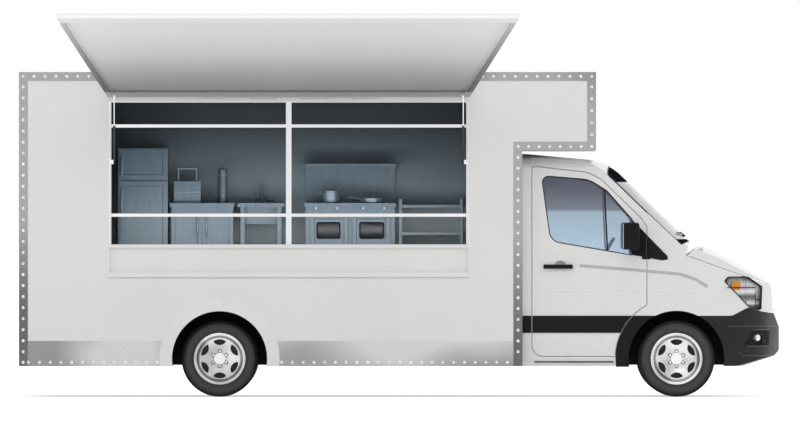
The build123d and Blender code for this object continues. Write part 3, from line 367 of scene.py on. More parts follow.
def buildRoomGroup():
    # 1 on the faces that line the kitchen, 0 on the outside of the box
    group, start, end = newGroup("kitchenSide", {}, ("Mask", "Height"))
    x, y, z = axesOf(group, start["Vector"])
    walls = stepNode(group, mathNode(group, "ABSOLUTE", y), room["halfWidth"], falling=True)
    top = stepNode(group, z, room["topZ"], falling=True)
    back = stepNode(group, x, room["backX"])
    low = stepNode(group, x, room["frontX"], falling=True)
    over = product(group, stepNode(group, z, room["lutonZ"]),
                   stepNode(group, x, room["lutonX"], falling=True))
    fill(group, end, {"Mask": product(group, walls, top, back, mathNode(group, "MAXIMUM", low, over)),
                      "Height": rangeNode(group, z, room["floorZ"], room["topZ"])})
    return group


brushGroup, wearGroup, filmGroup = buildBrushGroup(), buildWearGroup(), buildFilmGroup()
grainGroup, roomGroup = buildGrainGroup(), buildRoomGroup()


# materials: each look gives the shader's sockets, from the tree, the place on the object and its settings

surface = {"clouds": 0.8, "cloudRange": (0.35, 0.65), "cornerPaint": (0.46, 0.46, 0.46),
           "paintDust": (0.36, 0.345, 0.32),
           "mouldedDust": (0.19, 0.175, 0.155), "mouldedWear": 0.06, "even": (0.3, 0.7), "wave": 7.0,
           "waveDeep": 0.0006,
           "roomShadeFade": (0.50, 0.80), "roomTopShade": 0.12, "streakAndSheenRange": (0.36, 0.64), "smear": 0.12}


def made(name, look, *settings):
    material = bpy.data.materials.new(name)
    material.use_nodes = True
    tree = material.node_tree
    where = addNode(tree, "TexCoord", {}).outputs["Object"]
    fill(tree, tree.nodes["Principled BSDF"], look(tree, where, *settings))
    return material


def scaled(colour, factor):
    return tuple(c * factor for c in colour)


def uneven(tree, value, middle, down, up):
    # roughness that wanders a little about its middle
    return rangeNode(tree, value, *surface["even"], middle - down, middle + up)


def cloudy(tree, where, low, colour):
    # broad faint clouds between two near tones of the same paint
    clouds = noiseNode(tree, where, surface["clouds"], 2.0)
    return blendColours(tree, rangeNode(tree, clouds, *surface["cloudRange"]), low, colour)


def painted(tree, where, body, rough, film, filmTop=0.8, wave=0.02, worn=0.0):
    # worn corners, a little road film and the faint waviness of sprayed paint
    dirt = useGroup(tree, filmGroup, where, Top=filmTop, Amount=film)["Mask"]
    wear = useGroup(tree, wearGroup, where, Amount=worn)["Mask"]
    aged = blendColours(tree, wear, body, surface["cornerPaint"])
    waves = noiseNode(tree, where, surface["wave"], 1.0)
    return {"Base Color": blendColours(tree, dirt, aged, surface["paintDust"]),
            "Roughness": uneven(tree, noiseNode(tree, where, 5.0, 2.0), rough, 0.04, 0.05),
            "Normal": bumped(tree, waves, wave, surface["waveDeep"])}


def paint(tree, where, colour, low, rough, coat, film, filmTop=0.9, wave=0.02, worn=0.02):
    base = painted(tree, where, cloudy(tree, where, low, colour), rough, film, filmTop, wave, worn)
    return {**base, "Coat Weight": coat, "Coat Roughness": 0.12}


def panel(tree, where, colour, low, lining, rough=0.42, coat=0.08, film=0.06):
    # white outer skin, and dull lined walls inside that are painted darker towards the roof, a painted shade
    inside = useGroup(tree, roomGroup, where)
    haze = blendColours(tree, noiseNode(tree, where, 0.9, 1.0), lining, scaled(lining, 0.8))
    # painted shade: the lining darkens from mid-height up towards the roof
    shadeTowardsRoof = rangeNode(tree, inside["Height"], *surface["roomShadeFade"])
    liningWithTopShade = blendColours(tree, shadeTowardsRoof, haze, scaled(lining, surface["roomTopShade"]))
    body = blendColours(tree, inside["Mask"], cloudy(tree, where, low, colour), liningWithTopShade)
    return {**painted(tree, where, body, rough, film), "Coat Weight": coat}


def awning(tree, where, colour, low, shade, rough=0.4):
    # the underside is painted with shade that darkens it towards the hinge, within a lip painted as a
    # highlight and side rims painted grey with shade
    hinge = Matrix.Rotation(shade["tilt"], 3, "X") @ Vector((0, *shade["hinge"]))
    x, y, depth = axesOf(tree, mapped(tree, where, (1, 1, 1), (shade["tilt"], 0, 0), -hinge))
    out = rangeNode(tree, y, 0.0, -shade["reach"])
    under = stepNode(tree, depth, shade["skin"], 0.001, True)
    rim = stepNode(tree, depth, shade["lip"], 0.001, True)
    lip = stepNode(tree, y, -shade["reach"] + shade["rim"], 0.002, True)
    # painted grey shade on the side rims, and a painted highlight on the lip
    edges = blendColours(tree, lip, ramp(tree, out, shade["sides"]), shade["bright"])
    # painted shade on the underside, darkest near the hinge
    faces = blendColours(tree, rim, ramp(tree, out, shade["fall"]), edges)
    return painted(tree, where, blendColours(tree, under, cloudy(tree, where, low, colour), faces),
                   rough, 0.0)


def sheen(tree, where, dark, bright, period, turn=(0, 0, 0), rough=0.3, metal=0.7, streak=0.05):
    # polished sheet: broad soft bands of painted reflection in its colour, and a hair of brushing
    # painted reflection: broad bands between the dark and bright colours
    wide = noiseNode(tree, mapped(tree, where, period, turn), 1.0, 0.0, 0.3)
    grain = useGroup(tree, brushGroup, mapped(tree, where, (0.8, 6.0, 6.0)), Scale=60.0)["Streak"]
    fine = product(tree, mathNode(tree, "SUBTRACT", grain, 0.5), streak)
    level = mathNode(tree, "ADD", rangeNode(tree, wide, *surface["streakAndSheenRange"]), fine)
    return {"Base Color": blendColours(tree, level, dark, bright), "Metallic": metal,
            "Roughness": uneven(tree, grain, rough, 0.05, 0.07), "Normal": bumped(tree, grain, 0.04, 0.0005)}


def brushed(tree, where, bright, dark, stretch, rough, scale, metal=0.85, depth=0.12):
    grain = useGroup(tree, brushGroup, mapped(tree, where, stretch), Scale=scale)
    both = mathNode(tree, "ADD", product(tree, grain["Streak"], 0.55), product(tree, grain["Cloud"], 0.45))
    return {"Base Color": blendColours(tree, rangeNode(tree, both, *surface["streakAndSheenRange"]), dark, bright),
            "Metallic": metal, "Roughness": uneven(tree, grain["Streak"], rough, 0.08, 0.1),
            "Normal": bumped(tree, grain["Streak"], depth, 0.0006)}


def moulded(tree, where, colour, pale, rough, scale, depth, film, filmTop=0.9, shine=0.25):
    grain = useGroup(tree, grainGroup, where, Scale=scale)
    base = blendColours(tree, rangeNode(tree, grain["Tone"], 0.35, 0.7), colour, pale)
    wear = useGroup(tree, wearGroup, where, Amount=surface["mouldedWear"])["Mask"]
    worn = blendColours(tree, wear, base, tuple(min(1.0, c * 3 + 0.03) for c in pale))
    dirt = useGroup(tree, filmGroup, where, Top=filmTop, Amount=film)["Mask"]
    return {"Base Color": blendColours(tree, dirt, worn, surface["mouldedDust"]), "Specular IOR Level": shine,
            "Roughness": uneven(tree, grain["Tone"], rough, 0.07, 0.07),
            "Normal": bumped(tree, grain["Height"], depth, 0.0008)}


def shiny(tree, where, colour, rough=0.08):
    spots = noiseNode(tree, where, 60.0, 4.0)
    return {"Base Color": blendColours(tree, rangeNode(tree, spots, 0.55, 0.75), colour, scaled(colour, 0.8)),
            "Roughness": rangeNode(tree, spots, 0.3, 0.8, rough, rough + 0.1), "Metallic": 1.0}


def glass(tree, where, top, bottom, lowZ, highZ, rough=0.02, passing=0.9, ior=1.45, stops=None):
    # tinted from top to bottom, by two colours or by a run of stops, with a faint smear; the grading is
    # painted reflection on the cab glass and lenses, and painted shade darkening the top of the serving glass
    height = rangeNode(tree, axesOf(tree, where)["Z"], lowZ, highZ)
    smear = noiseNode(tree, mapped(tree, where, (1, 1, 4)), 2.2, 5.0)
    shift = product(tree, mathNode(tree, "SUBTRACT", smear, 0.5), surface["smear"])
    level = mathNode(tree, "ADD", height, shift)
    tint = ramp(tree, height, stops) if stops else blendColours(tree, level, bottom, top)
    haze = rangeNode(tree, smear, 0.4, 0.8, rough, rough + 0.05) if rough else 0.0
    return {"Base Color": tint, "Roughness": haze, "Transmission Weight": passing, "IOR": ior}


# the hatch's painted light: the underside's shade towards the hinge, grey shade on the side rims and the
# lip's highlight
hatchShade = {
    "tilt": radians(28), "hinge": (-1.112, 2.812), "reach": 1.61, "skin": 0.043, "lip": 0.02, "rim": 0.091,
    "bright": (0.97, 0.97, 0.97),
    "fall": [(0.0, (0.55, 0.55, 0.545)), (0.12, (0.40, 0.40, 0.395)), (0.3, (0.56, 0.56, 0.555)),
             (0.5, (0.79, 0.79, 0.78)), (0.75, (0.92, 0.92, 0.91)), (1.0, (0.96, 0.96, 0.95))],
    "sides": [(0.0, (0.78, 0.78, 0.77)), (0.03, (0.78, 0.78, 0.77)), (0.036, (0.46, 0.46, 0.455)),
              (0.085, (0.42, 0.42, 0.415)), (0.1, 0.13), (0.45, 0.25), (1.0, (0.68, 0.68, 0.67))]}
# painted reflection on the door glass: pale blue below a sharp line, dark grey-violet above it
doorGlassReflection = [(0.0, (0.70, 0.82, 0.92)), (0.53, (0.64, 0.74, 0.82)), (0.57, (0.44, 0.47, 0.54)),
            (1.0, (0.20, 0.22, 0.28))]
white, whiteLow = (0.79, 0.79, 0.78), (0.765, 0.765, 0.755)

# by look: the material's name, its colours and its settings, in the order that the look takes them
looks = {
    panel: {"panel": ("whitePanel", white, whiteLow, (0.205, 0.265, 0.30))},
    awning: {"hatch": ("awningPanel", white, whiteLow, hatchShade)},
    paint: {
        "counter": ("counterBoard", (0.80, 0.80, 0.79), (0.78, 0.78, 0.77), 0.38, 0.1, 0.0),
        "paint": ("whiteCoachPaint", white, (0.77, 0.77, 0.76), 0.26, 0.5, 0.03, 0.8),
        # painted grey shade for the upper crease
        "crease": ("creaseShade", (0.50, 0.50, 0.495), (0.45, 0.45, 0.445), 0.4, 0.1, 0.0),
        "chassis": ("chassisPaint", (0.016, 0.016, 0.017), (0.024, 0.024, 0.024), 0.5, 0.0, 0.3, 0.9, 0.2),
        "engine": ("castIron", (0.06, 0.06, 0.058), (0.09, 0.085, 0.08), 0.6, 0.0, 0.4, 1.2, 0.5)},
    # these paint broad bands of reflection into trim, skirt, bars, wheels and hub caps
    sheen: {
        "trim": ("polishedTrim", (0.13, 0.13, 0.135), (0.37, 0.37, 0.37), (0.7, 0.7, 0.6), (0.5, 0.3, 0.2)),
        "skirt": ("polishedSkirt", (0.28, 0.28, 0.285), (0.58, 0.58, 0.58), (1.15, 1.0, 1.6), (0, 0.7, 0)),
        "bar": ("barAluminium", (0.80, 0.80, 0.81), (0.93, 0.93, 0.94), (0.6, 0.6, 0.4), (0, 0, 0), 0.3,
                0.55),
        "wheel": ("wheelSilver", (0.52, 0.52, 0.53), (0.82, 0.82, 0.83), (4.5, 4.5, 4.5), (0, 0, 0), 0.28,
                  0.6, 0.02),
        "cap": ("hubCapPaint", (0.84, 0.84, 0.84), (0.93, 0.93, 0.93), (3, 3, 3), (0, 0, 0), 0.3, 0.5, 0.01)},
    brushed: {
        "rivet": ("rivetAluminium", (0.86, 0.86, 0.87), (0.5, 0.5, 0.51), (4, 4, 4), 0.25, 30.0, 0.9, 0.05),
        "stainless": ("kitchenSteel", (0.15, 0.19, 0.22), (0.115, 0.15, 0.18), (9, 9, 0.7), 0.45, 30.0, 0.35,
                      0.05),
        "rail": ("kitchenBright", (0.26, 0.31, 0.35), (0.19, 0.235, 0.27), (9, 9, 0.7), 0.35, 30.0, 0.4,
                 0.03),
        "brake": ("castBrake", (0.10, 0.10, 0.10), (0.05, 0.05, 0.05), (8, 8, 8), 0.5, 20.0, 0.6)},
    moulded: {
        "liner": ("wheelhouseLiner", (0.006, 0.006, 0.006), (0.009, 0.009, 0.009), 0.85, 300.0, 0.2, 0.1),
        "bumper": ("bumperPlastic", (0.017, 0.017, 0.0175), (0.02, 0.02, 0.0205), 0.42, 380.0, 0.1, 0.02,
                   0.9, 0.15),
        "moulding": ("mouldingPlastic", (0.007, 0.007, 0.0072), (0.009, 0.009, 0.0092), 0.5, 380.0, 0.1,
                     0.02, 0.9, 0.12),
        "rubber": ("sealRubber", (0.006, 0.006, 0.007), (0.009, 0.009, 0.01), 0.5, 700.0, 0.08, 0.0),
        "frit": ("screenBand", (0.006, 0.007, 0.010), (0.009, 0.010, 0.014), 0.4, 900.0, 0.0, 0.0, 0.9, 0.0),
        # painted highlight along the bumper's pressed lines
        "pressed": ("pressedHighlight", (0.06, 0.06, 0.061), (0.075, 0.075, 0.076), 0.45, 380.0, 0.05, 0.0),
        "floor": ("floorBoard", (0.06, 0.07, 0.08), (0.08, 0.09, 0.10), 0.6, 220.0, 0.3, 0.0),
        "dash": ("dashPlastic", (0.03, 0.034, 0.038), (0.045, 0.05, 0.055), 0.6, 500.0, 0.2, 0.0),
        "ovenGlass": ("ovenGlass", (0.012, 0.015, 0.02), (0.02, 0.025, 0.03), 0.2, 50.0, 0.0, 0.0),
        "tyre": ("tyreRubber", (0.040, 0.040, 0.041), (0.048, 0.048, 0.049), 0.62, 500.0, 0.1, 0.1, 0.7)},
    shiny: {"chrome": ("chromePlate", (0.86, 0.87, 0.89))},
    glass: {
        "amber": ("amberLens", (0.95, 0.34, 0.02), (0.9, 0.28, 0.01), 1.0, 1.1, 0.15, 0.25),
        "screen": ("screenGlass", (0.30, 0.34, 0.42), (0.62, 0.72, 0.80), 1.45, 2.15),
        "doorGlass": ("doorGlass", None, None, 1.35, 2.10, 0.02, 0.9, 1.45, doorGlassReflection),
        "servingGlass": ("servingGlass", (0.78, 0.84, 0.90), (0.90, 0.94, 0.97), 1.7, 2.75, 0.0, 1.0, 1.06),
        "lens": ("clearLens", (0.95, 0.97, 1.0), (0.9, 0.92, 0.95), 0.8, 1.1, 0.02, 1.0, 1.12),
        "redLens": ("redLens", (0.55, 0.015, 0.012), (0.45, 0.01, 0.01), 0.5, 0.9, 0.08, 0.5)},
}
finish = {key: made(name, look, *settings) for look, table in looks.items() for key,
          (name, *settings) in table.items()}
dressing = {
    "panel": ["box_side_left", "box_side_right", "box_rear", "box_front", "box_roof", "rear_door"],
    "hatch": ["hatch"], "counter": ["serving_counter", "hatch_hinge"],
    "paint": ["cab_shell", "cab_door_left", "cab_door_right", "bonnet", "front_wings", "rear_arch_flares"],
    "trim": ["box_trim"], "skirt": ["box_skirts"], "bar": ["serving_frame"],
    "stainless": ["appliances", "cooker", "fridge", "kitchen_tables"],
    "bumper": ["front_bumper"], "liner": ["arch_liners"],
    "moulding": ["side_mouldings", "door_fittings_left", "door_fittings_right", "grille"],
    "tyre": ["tyre_front_left", "tyre_front_right", "tyre_rear_left", "tyre_rear_right"],
    "wheel": ["rim_front_left", "rim_front_right", "rim_rear_left", "rim_rear_right"],
    "chassis": ["chassis_frame", "suspension", "knuckle_left", "knuckle_right", "rear_drive", "rear_steps",
                "fuel_tank", "exhaust", "strut_cylinder_front", "strut_cylinder_rear"],
    "engine": ["engine_block"], "floor": ["box_floor"], "dash": ["dashboard", "seats"],
    "chrome": ["strut_rod_front", "strut_rod_rear"], "screen": ["windscreen"],
    "doorGlass": ["door_glass_left", "door_glass_right"], "servingGlass": ["serving_glass"],
    "lens": ["headlamps"], "redLens": ["rear_lamps"],
}
for key, names in dressing.items():
    for name in names:
        nodes[name].data.materials.clear()
        nodes[name].data.materials.append(finish[key])
bare = [name for name in nodes if not nodes[name].data.materials]
print("materials on every node, left over:", bare)


# lines and skins taken from the CAD

def takenFrom(node, name):
    # a copy of a CAD piece, with its seams closed, for making trim from
    onlySelect(nodes[node])
    bpy.ops.object.duplicate()
    twin = bpy.context.object
    twin.parent = None
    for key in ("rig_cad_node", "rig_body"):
        del twin[key]
    twin.data.materials.clear()
    return mend(settle(twin, name))


def skinOf(*names):
    # CAD surfaces that trim is laid on
    corners, faces = [], []
    for name in names:
        base = len(corners)
        mesh = nodes[name].data
        corners += [corner.co.copy() for corner in mesh.vertices]
        faces += [[base + k for k in face.vertices] for face in mesh.polygons]
    return BVHTree.FromPolygons(corners, faces)


def along(points, steps):
    # a run through a few points, shared out evenly between each pair
    run = []
    for start, end in zip(points, points[1:]):
        run += [Vector(start).lerp(Vector(end), k / steps) for k in range(steps)]
    return run + [Vector(points[-1])]


def onSkin(tree, side, x, z, lift=0.0):
    hit = tree.ray_cast(Vector((x, side * 1.6, z)), Vector((0, -side, 0)))[0]
    return Vector((x, (hit.y if hit else side) + side * lift, z))


def skinLine(tree, side, line, steps, lift=0.0):
    return [onSkin(tree, side, p.x, p.z, lift) for p in along([(x, 0, z) for x, z in line], steps)]


def skinRing(tree, side, centre, radius, steps, lift=0.0):
    turns = [radians(360 * k / steps) for k in range(steps)]
    return [onSkin(tree, side, centre[0] + radius * cos(t), centre[1] + radius * sin(t), lift) for t in turns]


def tubed(piece, radius, closed=True, sides=2):
    # gives a line of edges a round section
    onlySelect(piece)
    bpy.ops.object.convert(target="CURVE")
    piece.data.bevel_depth = radius
    piece.data.bevel_resolution = sides
    piece.data.use_fill_caps = not closed
    bpy.ops.object.convert(target="MESH")
    return mend(settle(piece))


def bead(name, points, radius, closed=True, sides=2):
    # a round strip along a line of points
    piece = moved(circled(len(points)), points)
    ends = {0, len(points) - 1}
    if not closed:
        cleared(piece, "EDGE", lambda e: {v.index for v in e.verts} == ends, "EDGE")
    piece.name = name
    return tubed(piece, radius, closed, sides)


def edgeRing(node, name, way):
    # the outer edge line of a CAD pane, as loose edges
    piece = takenFrom(node, name)
    way = Vector(way).normalized()
    cleared(piece, "FACE", lambda f: f.normal.dot(way) < 0.25, "FACE")
    cleared(piece, "EDGE_FACE", lambda e: len(e.link_faces) > 1, "EDGE")
    return inEdit(piece, lambda: bpy.ops.mesh.delete_loose(use_verts=True, use_edges=False, use_faces=False))


def cutsTo(side, lowX=None, highX=None, lowZ=None, highZ=None):
    # cutting planes (place, outward direction) that keep one side of the truck, or both for 0, within limits
    cuts = [((0, 0, 0), (0, -side, 0))] if side else []
    for limit, axis, way in ((lowX, 0, -1), (highX, 0, 1), (lowZ, 2, -1), (highZ, 2, 1)):
        if limit is not None:
            unit = Vector([k == axis for k in range(3)])
            cuts.append((unit * limit, unit * way))
    return cuts


def skinPatch(node, name, way, cuts, thick):
    # a thin sheet laid on part of a CAD skin, inside a few cutting planes
    piece = takenFrom(node, name)
    way = Vector(way).normalized()
    cleared(piece, "FACE", lambda f: f.normal.dot(way) < 0.3, "FACE")
    for place, out in cuts:
        inEdit(piece, lambda: bpy.ops.mesh.bisect(plane_co=place, plane_no=out, clear_outer=True))
    return mend(modified(piece, "SOLIDIFY", thickness=thick, offset=1.0))


# dome rivets along the aluminium edges

rivets = {"radius": 0.0145, "high": 0.0042, "pitch": 0.103, "inset": 0.037, "proud": 0.0025, "sink": 0.0005,
          "skirt": 0.0015, "corner": 0.1, "steps": 14, "roofEdge": 0.003, "archGap": 0.02,
          "lutonDrop": 0.738, "frontReach": 0.05,
          "skirtStart": 0.155, "footRun": 0.05}
wallY = box["box_side_left"][1].y


def rivetRow(start, end, way):
    start, end = Vector(start), Vector(end)
    count = max(2, round((end - start).length / rivets["pitch"]) + 1)
    r, h = rivets["radius"], rivets["high"]
    profile = [(0, -0.001), (r, -0.001), (r, h * 0.35), (r * 0.8, h * 0.8), (r * 0.42, h), (0, h)]
    rivet = spun(profile, start, way, rivets["steps"])
    return modified(rivet, "ARRAY", count=count, use_relative_offset=False, use_constant_offset=True,
                    constant_offset_displace=(end - start) / (count - 1))


def makeRivets():
    inset, proud, gap = rivets["inset"], rivets["proud"], rivets["corner"]
    roofZ, lowZ = box["box_trim"][1].z, box["box_side_left"][0].z + inset
    tailX, noseX = box["box_side_left"][0].x, box["box_side_left"][1].x
    backX, faceX, frontX = tailX + inset, noseX - inset, box["box_floor"][1].x + rivets["frontReach"] - inset
    topZ, lutonZ = roofZ - rivets["roofEdge"] - inset, box["box_rear"][1].z - rivets["lutonDrop"] + inset
    archLow, archHigh = (box["rear_arch_flares"][k].x + (2 * k - 1) * rivets["archGap"] for k in (0, 1))
    edgeY, across, roof = wallY - inset, wallY - inset - gap, roofZ - rivets["sink"]
    back, ahead, up = (-1, 0, 0), (1, 0, 0), (0, 0, 1)
    runs = []
    for side in (1, -1):
        y, low, edge = side * (wallY + proud), side * (wallY + rivets["skirt"]), side * edgeY
        out = (0, side, 0)
        runs += [((backX, y, topZ), (faceX, y, topZ), out),
                 ((backX, y, lowZ + gap), (backX, y, topZ - gap), out),
                 ((faceX, y, lutonZ), (faceX, y, topZ - gap), out),
                 ((frontX + gap, y, lutonZ), (faceX - gap, y, lutonZ), out),
                 ((frontX, y, lowZ + gap), (frontX, y, lutonZ), out),
                 ((backX, y, lowZ), (backX + rivets["footRun"], y, lowZ), out),
                 ((backX + rivets["skirtStart"], low, lowZ), (archLow, low, lowZ), out),
                 ((archHigh, low, lowZ), (frontX - gap, low, lowZ), out),
                 ((tailX - proud, edge, lowZ + gap), (tailX - proud, edge, topZ), back),
                 ((noseX + proud, edge, lutonZ), (noseX + proud, edge, topZ), ahead),
                 ((backX, edge, roof), (faceX, edge, roof), up)]
    runs += [((x, -across, z), (x, across, z), way) for x, z, way in (
        (tailX - proud, topZ, back), (noseX + proud, topZ, ahead), (noseX + proud, lutonZ, ahead),
        (backX, roof, up), (faceX, roof, up))]
    dress(joined("edge_rivets", [rivetRow(*run) for run in runs]), "rivet")


makeRivets()
print("rivets set")


# wheelhouses: dark inner walls that close the arches from the underbody, with a hole for the axle

wheelhouse = {"rear": (0.645, 0.452, 0.19), "front": (0.54, 0.456, 0.235), "sheet": 0.003, "steps": 40,
              "dropZ": 0.30}
# brake discs and drums turn with the wheels, seen through the hand holes
brakes = {"radius": 0.196, "hub": 0.05, "near": 0.842, "thick": 0.012, "boss": 0.004, "steps": 40}


def wheelCentre(end, word):
    low, high = box[f"tyre_{end}_{word}"]
    return (low + high) / 2


def houseWall(end, side):
    inner, radius, hole = wheelhouse[end]
    centre, sheet = wheelCentre(end, "left"), wheelhouse["sheet"]
    piece = spun([(hole, 0), (radius, 0), (radius, sheet), (hole, sheet)],
                 (centre.x, side * inner, box["tyre_rear_left"][1].z / 2), (0, 1, 0), wheelhouse["steps"])
    return mend(inEdit(piece, lambda: bpy.ops.mesh.bisect(
        plane_co=(centre.x, 0, wheelhouse["dropZ"]), plane_no=(0, 0, 1), clear_inner=True, use_fill=True)))


def makeBrake(end, side, word):
    centre = wheelCentre(end, word)
    r, hub, t, boss = (brakes[key] for key in ("radius", "hub", "thick", "boss"))
    profile = [(hub, 0), (r, 0), (r, t), (hub + 0.05, t), (hub + 0.045, t + boss), (hub, t + boss)]
    piece = spun(profile, (centre.x, side * brakes["near"], centre.z), (0, side, 0), brakes["steps"])
    dress(called(piece, f"brake_{end}_{word}"), "brake", f"wheel_{end}_{word}")


dress(joined("wheelhouse_walls", [houseWall(end, side) for side in (1, -1) for end in ("rear", "front")]),
      "liner")
for end in ("front", "rear"):
    onBothSides(lambda side, word: makeBrake(end, side, word))
print("wheelhouses and brakes made")


# window rubbers, bright rims, divider bars and mirror glass on the cab doors

doorTrim = {"rubber": 0.0065, "rubberOut": 0.003, "rim": 0.004, "rimGrow": 1.028, "rimOut": 0.001,
            "divider": [(1.936, 1.965), (1.963, 1.395)], "bar": 0.008, "steps": 8,
            "mirrorX": (2.1105, 2.1135), "mirrorY": (1.055, 1.225), "mirrorZ": (1.41, 1.633),
            "mirrorEdge": 0.001}


def grownRing(piece, grow):
    middle = sum((v.co for v in piece.data.vertices), Vector()) / len(piece.data.vertices)
    outward = [v.co - middle for v in piece.data.vertices]
    return moved(piece, [middle + Vector((out.x * grow, out.y, out.z * grow)) for out in outward])


def makeDoorTrim(side, word):
    node, body = f"door_glass_{word}", f"cab_door_{word}"
    ring = edgeRing(node, f"window_rubber_{word}", (0, side, 0))
    rim = grownRing(copyOf(ring, f"window_rim_{word}", (0, side * doorTrim["rimOut"], 0)),
                    doorTrim["rimGrow"])
    ring.location = (0, side * doorTrim["rubberOut"], 0)
    dress(tubed(settle(ring), doorTrim["rubber"]), "rubber", body)
    dress(tubed(rim, doorTrim["rim"]), "paint", body)
    line = skinLine(skinOf(node), side, doorTrim["divider"], doorTrim["steps"], doorTrim["rubberOut"])
    dress(bead(f"window_divider_{word}", line, doorTrim["bar"], False), "rubber", body)
    (lowX, highX), (lowZ, highZ) = doorTrim["mirrorX"], doorTrim["mirrorZ"]
    near, far = sorted(side * y for y in doorTrim["mirrorY"])
    glass = slab((lowX, near, lowZ), (highX, far, highZ), doorTrim["mirrorEdge"])
    dress(called(glass, f"mirror_glass_{word}"), "chrome", body)


onBothSides(makeDoorTrim)


# windscreen rubber and its printed dark bands

screenTrim = {"rubber": 0.007, "bandTop": 2.035, "bandFoot": 1.492, "thick": 0.0012, "way": (0.7, 0, 0.7)}


def makeScreenTrim():
    way, thick = screenTrim["way"], screenTrim["thick"]
    dress(tubed(edgeRing("windscreen", "screen_rubber", way), screenTrim["rubber"]), "rubber")
    for name, cuts in (("screen_band_top", cutsTo(0, lowZ=screenTrim["bandTop"])),
                       ("screen_band_foot", cutsTo(0, highZ=screenTrim["bandFoot"]))):
        dress(skinPatch("windscreen", name, way, cuts, thick), "frit")


makeScreenTrim()


# wipers parked along the foot of the windscreen

wipers = {"pivots": (0.52, -0.16), "pivotZ": 1.452, "bladeY": (0.30, -0.42), "bladeZ": (1.512, 1.548),
          "blade": 0.007,
          "arm": 0.008, "knee": 0.35, "lift": 0.012, "steps": 10, "boss": 0.02, "bossLow": 0.02,
          "bossHigh": 0.014,
          "bossEdge": 0.004}


def onGlass(tree, y, z):
    hit, normal = tree.ray_cast(Vector((4, y, z)), Vector((-1, 0, 0)))[:2]
    return hit + normal * wipers["lift"] if hit else Vector((2.7, y, z))


def makeWipers():
    tree = skinOf("windscreen")
    pieces = []
    for pivot in wipers["pivots"]:
        span = [(pivot + y, 0, z) for y, z in zip(wipers["bladeY"], wipers["bladeZ"])]
        blade = [onGlass(tree, p.x, p.z) for p in along(span, wipers["steps"])]
        foot = onGlass(tree, pivot, wipers["pivotZ"])
        middle = blade[len(blade) // 2]
        knee = foot.lerp(middle, wipers["knee"]) + Vector((0, 0, wipers["lift"]))
        low, high = Vector((0, 0, wipers["bossLow"])), Vector((0, 0, wipers["bossHigh"]))
        pieces += [bead("blade", blade, wipers["blade"], False),
                   bead("arm", [foot, knee, middle], wipers["arm"], False),
                   rod(foot - low, foot + high, wipers["boss"], 20, wipers["bossEdge"])]
    dress(joined("wipers", pieces), "moulding")


makeWipers()


# the bonnet's rear flank, down to its hinge line

flank = {"outline": [(2.735, 1.3515), (2.823, 1.4165), (2.88, 1.4135)], "half": 0.993, "topHalf": 0.972,
         "topZ": 1.40,
         "edge": 0.003}


def makeFlank():
    piece = plate(flank["outline"], flank["half"])
    for corner in piece.data.vertices:
        if corner.co.z > flank["topZ"]:
            corner.co.y *= flank["topHalf"] / flank["half"]
    dress(called(bevelled(piece, flank["edge"]), "bonnet_flank"), "paint", "bonnet")


makeFlank()


# pressed creases and the sill groove: the upper crease is a bead of painted grey shade, the lower a bead of
# body paint, the groove a dark rubber bead

creases = {"upper": [(1.70, 1.243), (2.25, 1.199), (2.652, 1.163), (2.80, 1.112), (2.905, 1.045)],
           "lower": [(1.40, 1.003), (2.10, 1.012), (2.60, 1.003), (2.86, 0.985)],
           "sill": [(1.272, 0.331), (2.02, 0.331)], "shade": 0.03, "bright": 0.026, "groove": 0.006,
           "sunk": 0.8,
           "steps": 9, "doorEndX": 2.325, "shellX": 2.342, "farX": 9}


def creaseLine(name, tree, side, line, radius, key, body):
    points = skinLine(tree, side, line, creases["steps"], -creases["sunk"] * radius)
    dress(bead(name, points, radius, False), key, body)


def cutLine(line, low, high):
    # the stretch of a line between two places along the body
    run = []
    for (x0, z0), (x1, z1) in zip(line, line[1:]):
        a, b = max(x0, low), min(x1, high)
        if a < b:
            run += [(x, z0 + (z1 - z0) * (x - x0) / (x1 - x0)) for x in (a, b)]
    return [place for k, place in enumerate(run) if k == 0 or place != run[k - 1]]


def makeCreases(side, word):
    door = f"cab_door_{word}"
    doorTree, shellTree = skinOf(door), skinOf("cab_shell", "front_wings")
    # the upper crease takes the painted grey shade, the lower one the body paint
    for name, radius, key in (("upper", creases["shade"], "crease"), ("lower", creases["bright"], "paint")):
        onDoor = cutLine(creases[name], 0, creases["doorEndX"])
        onShell = cutLine(creases[name], creases["shellX"], creases["farX"])
        creaseLine(f"door_crease_{name}_{word}", doorTree, side, onDoor, radius, key, door)
        creaseLine(f"wing_crease_{name}_{word}", shellTree, side, onShell, radius, key, "chassis")
    creaseLine(f"sill_groove_{word}", doorTree, side, creases["sill"], creases["groove"], "rubber", door)


onBothSides(makeCreases)
print("cab trim made")


# headlamps: reflectors, indicator blocks, dividing ribs and dark edges inside the clear lens

lampTrim = {"inX": -0.03, "inY": -0.022, "sheet": 0.002, "footZ": 0.7, "way": (0.6, 0.8, 0),
            "edgeWay": (0.3, 1, 0),
            "amberX": (3.150, 3.236), "amberZ": (1.014, 1.090), "amberIn": 0.012, "rib": 0.0045,
            "ribIn": 0.008,
            "ribs": [[(3.095, 1.033), (3.366, 1.033)], [(3.37, 0.918), (3.424, 0.918)]], "edge": 0.006,
            "steps": 8,
            "lowZ": 0.82, "highZ": 1.14, "blockX": 3.366, "tipShadeX": (3.075, 3.13),
            # painted reflection bands, from the foot of the bowl to its top
            "bands": [(0.0, 0.16), (0.13, 0.12), (0.2, 0.75), (0.33, 0.2), (0.42, 0.12), (0.55, 0.85),
                      (0.64, 0.55),
                      (0.78, 0.62), (0.9, 0.3), (1.0, 0.07)]}


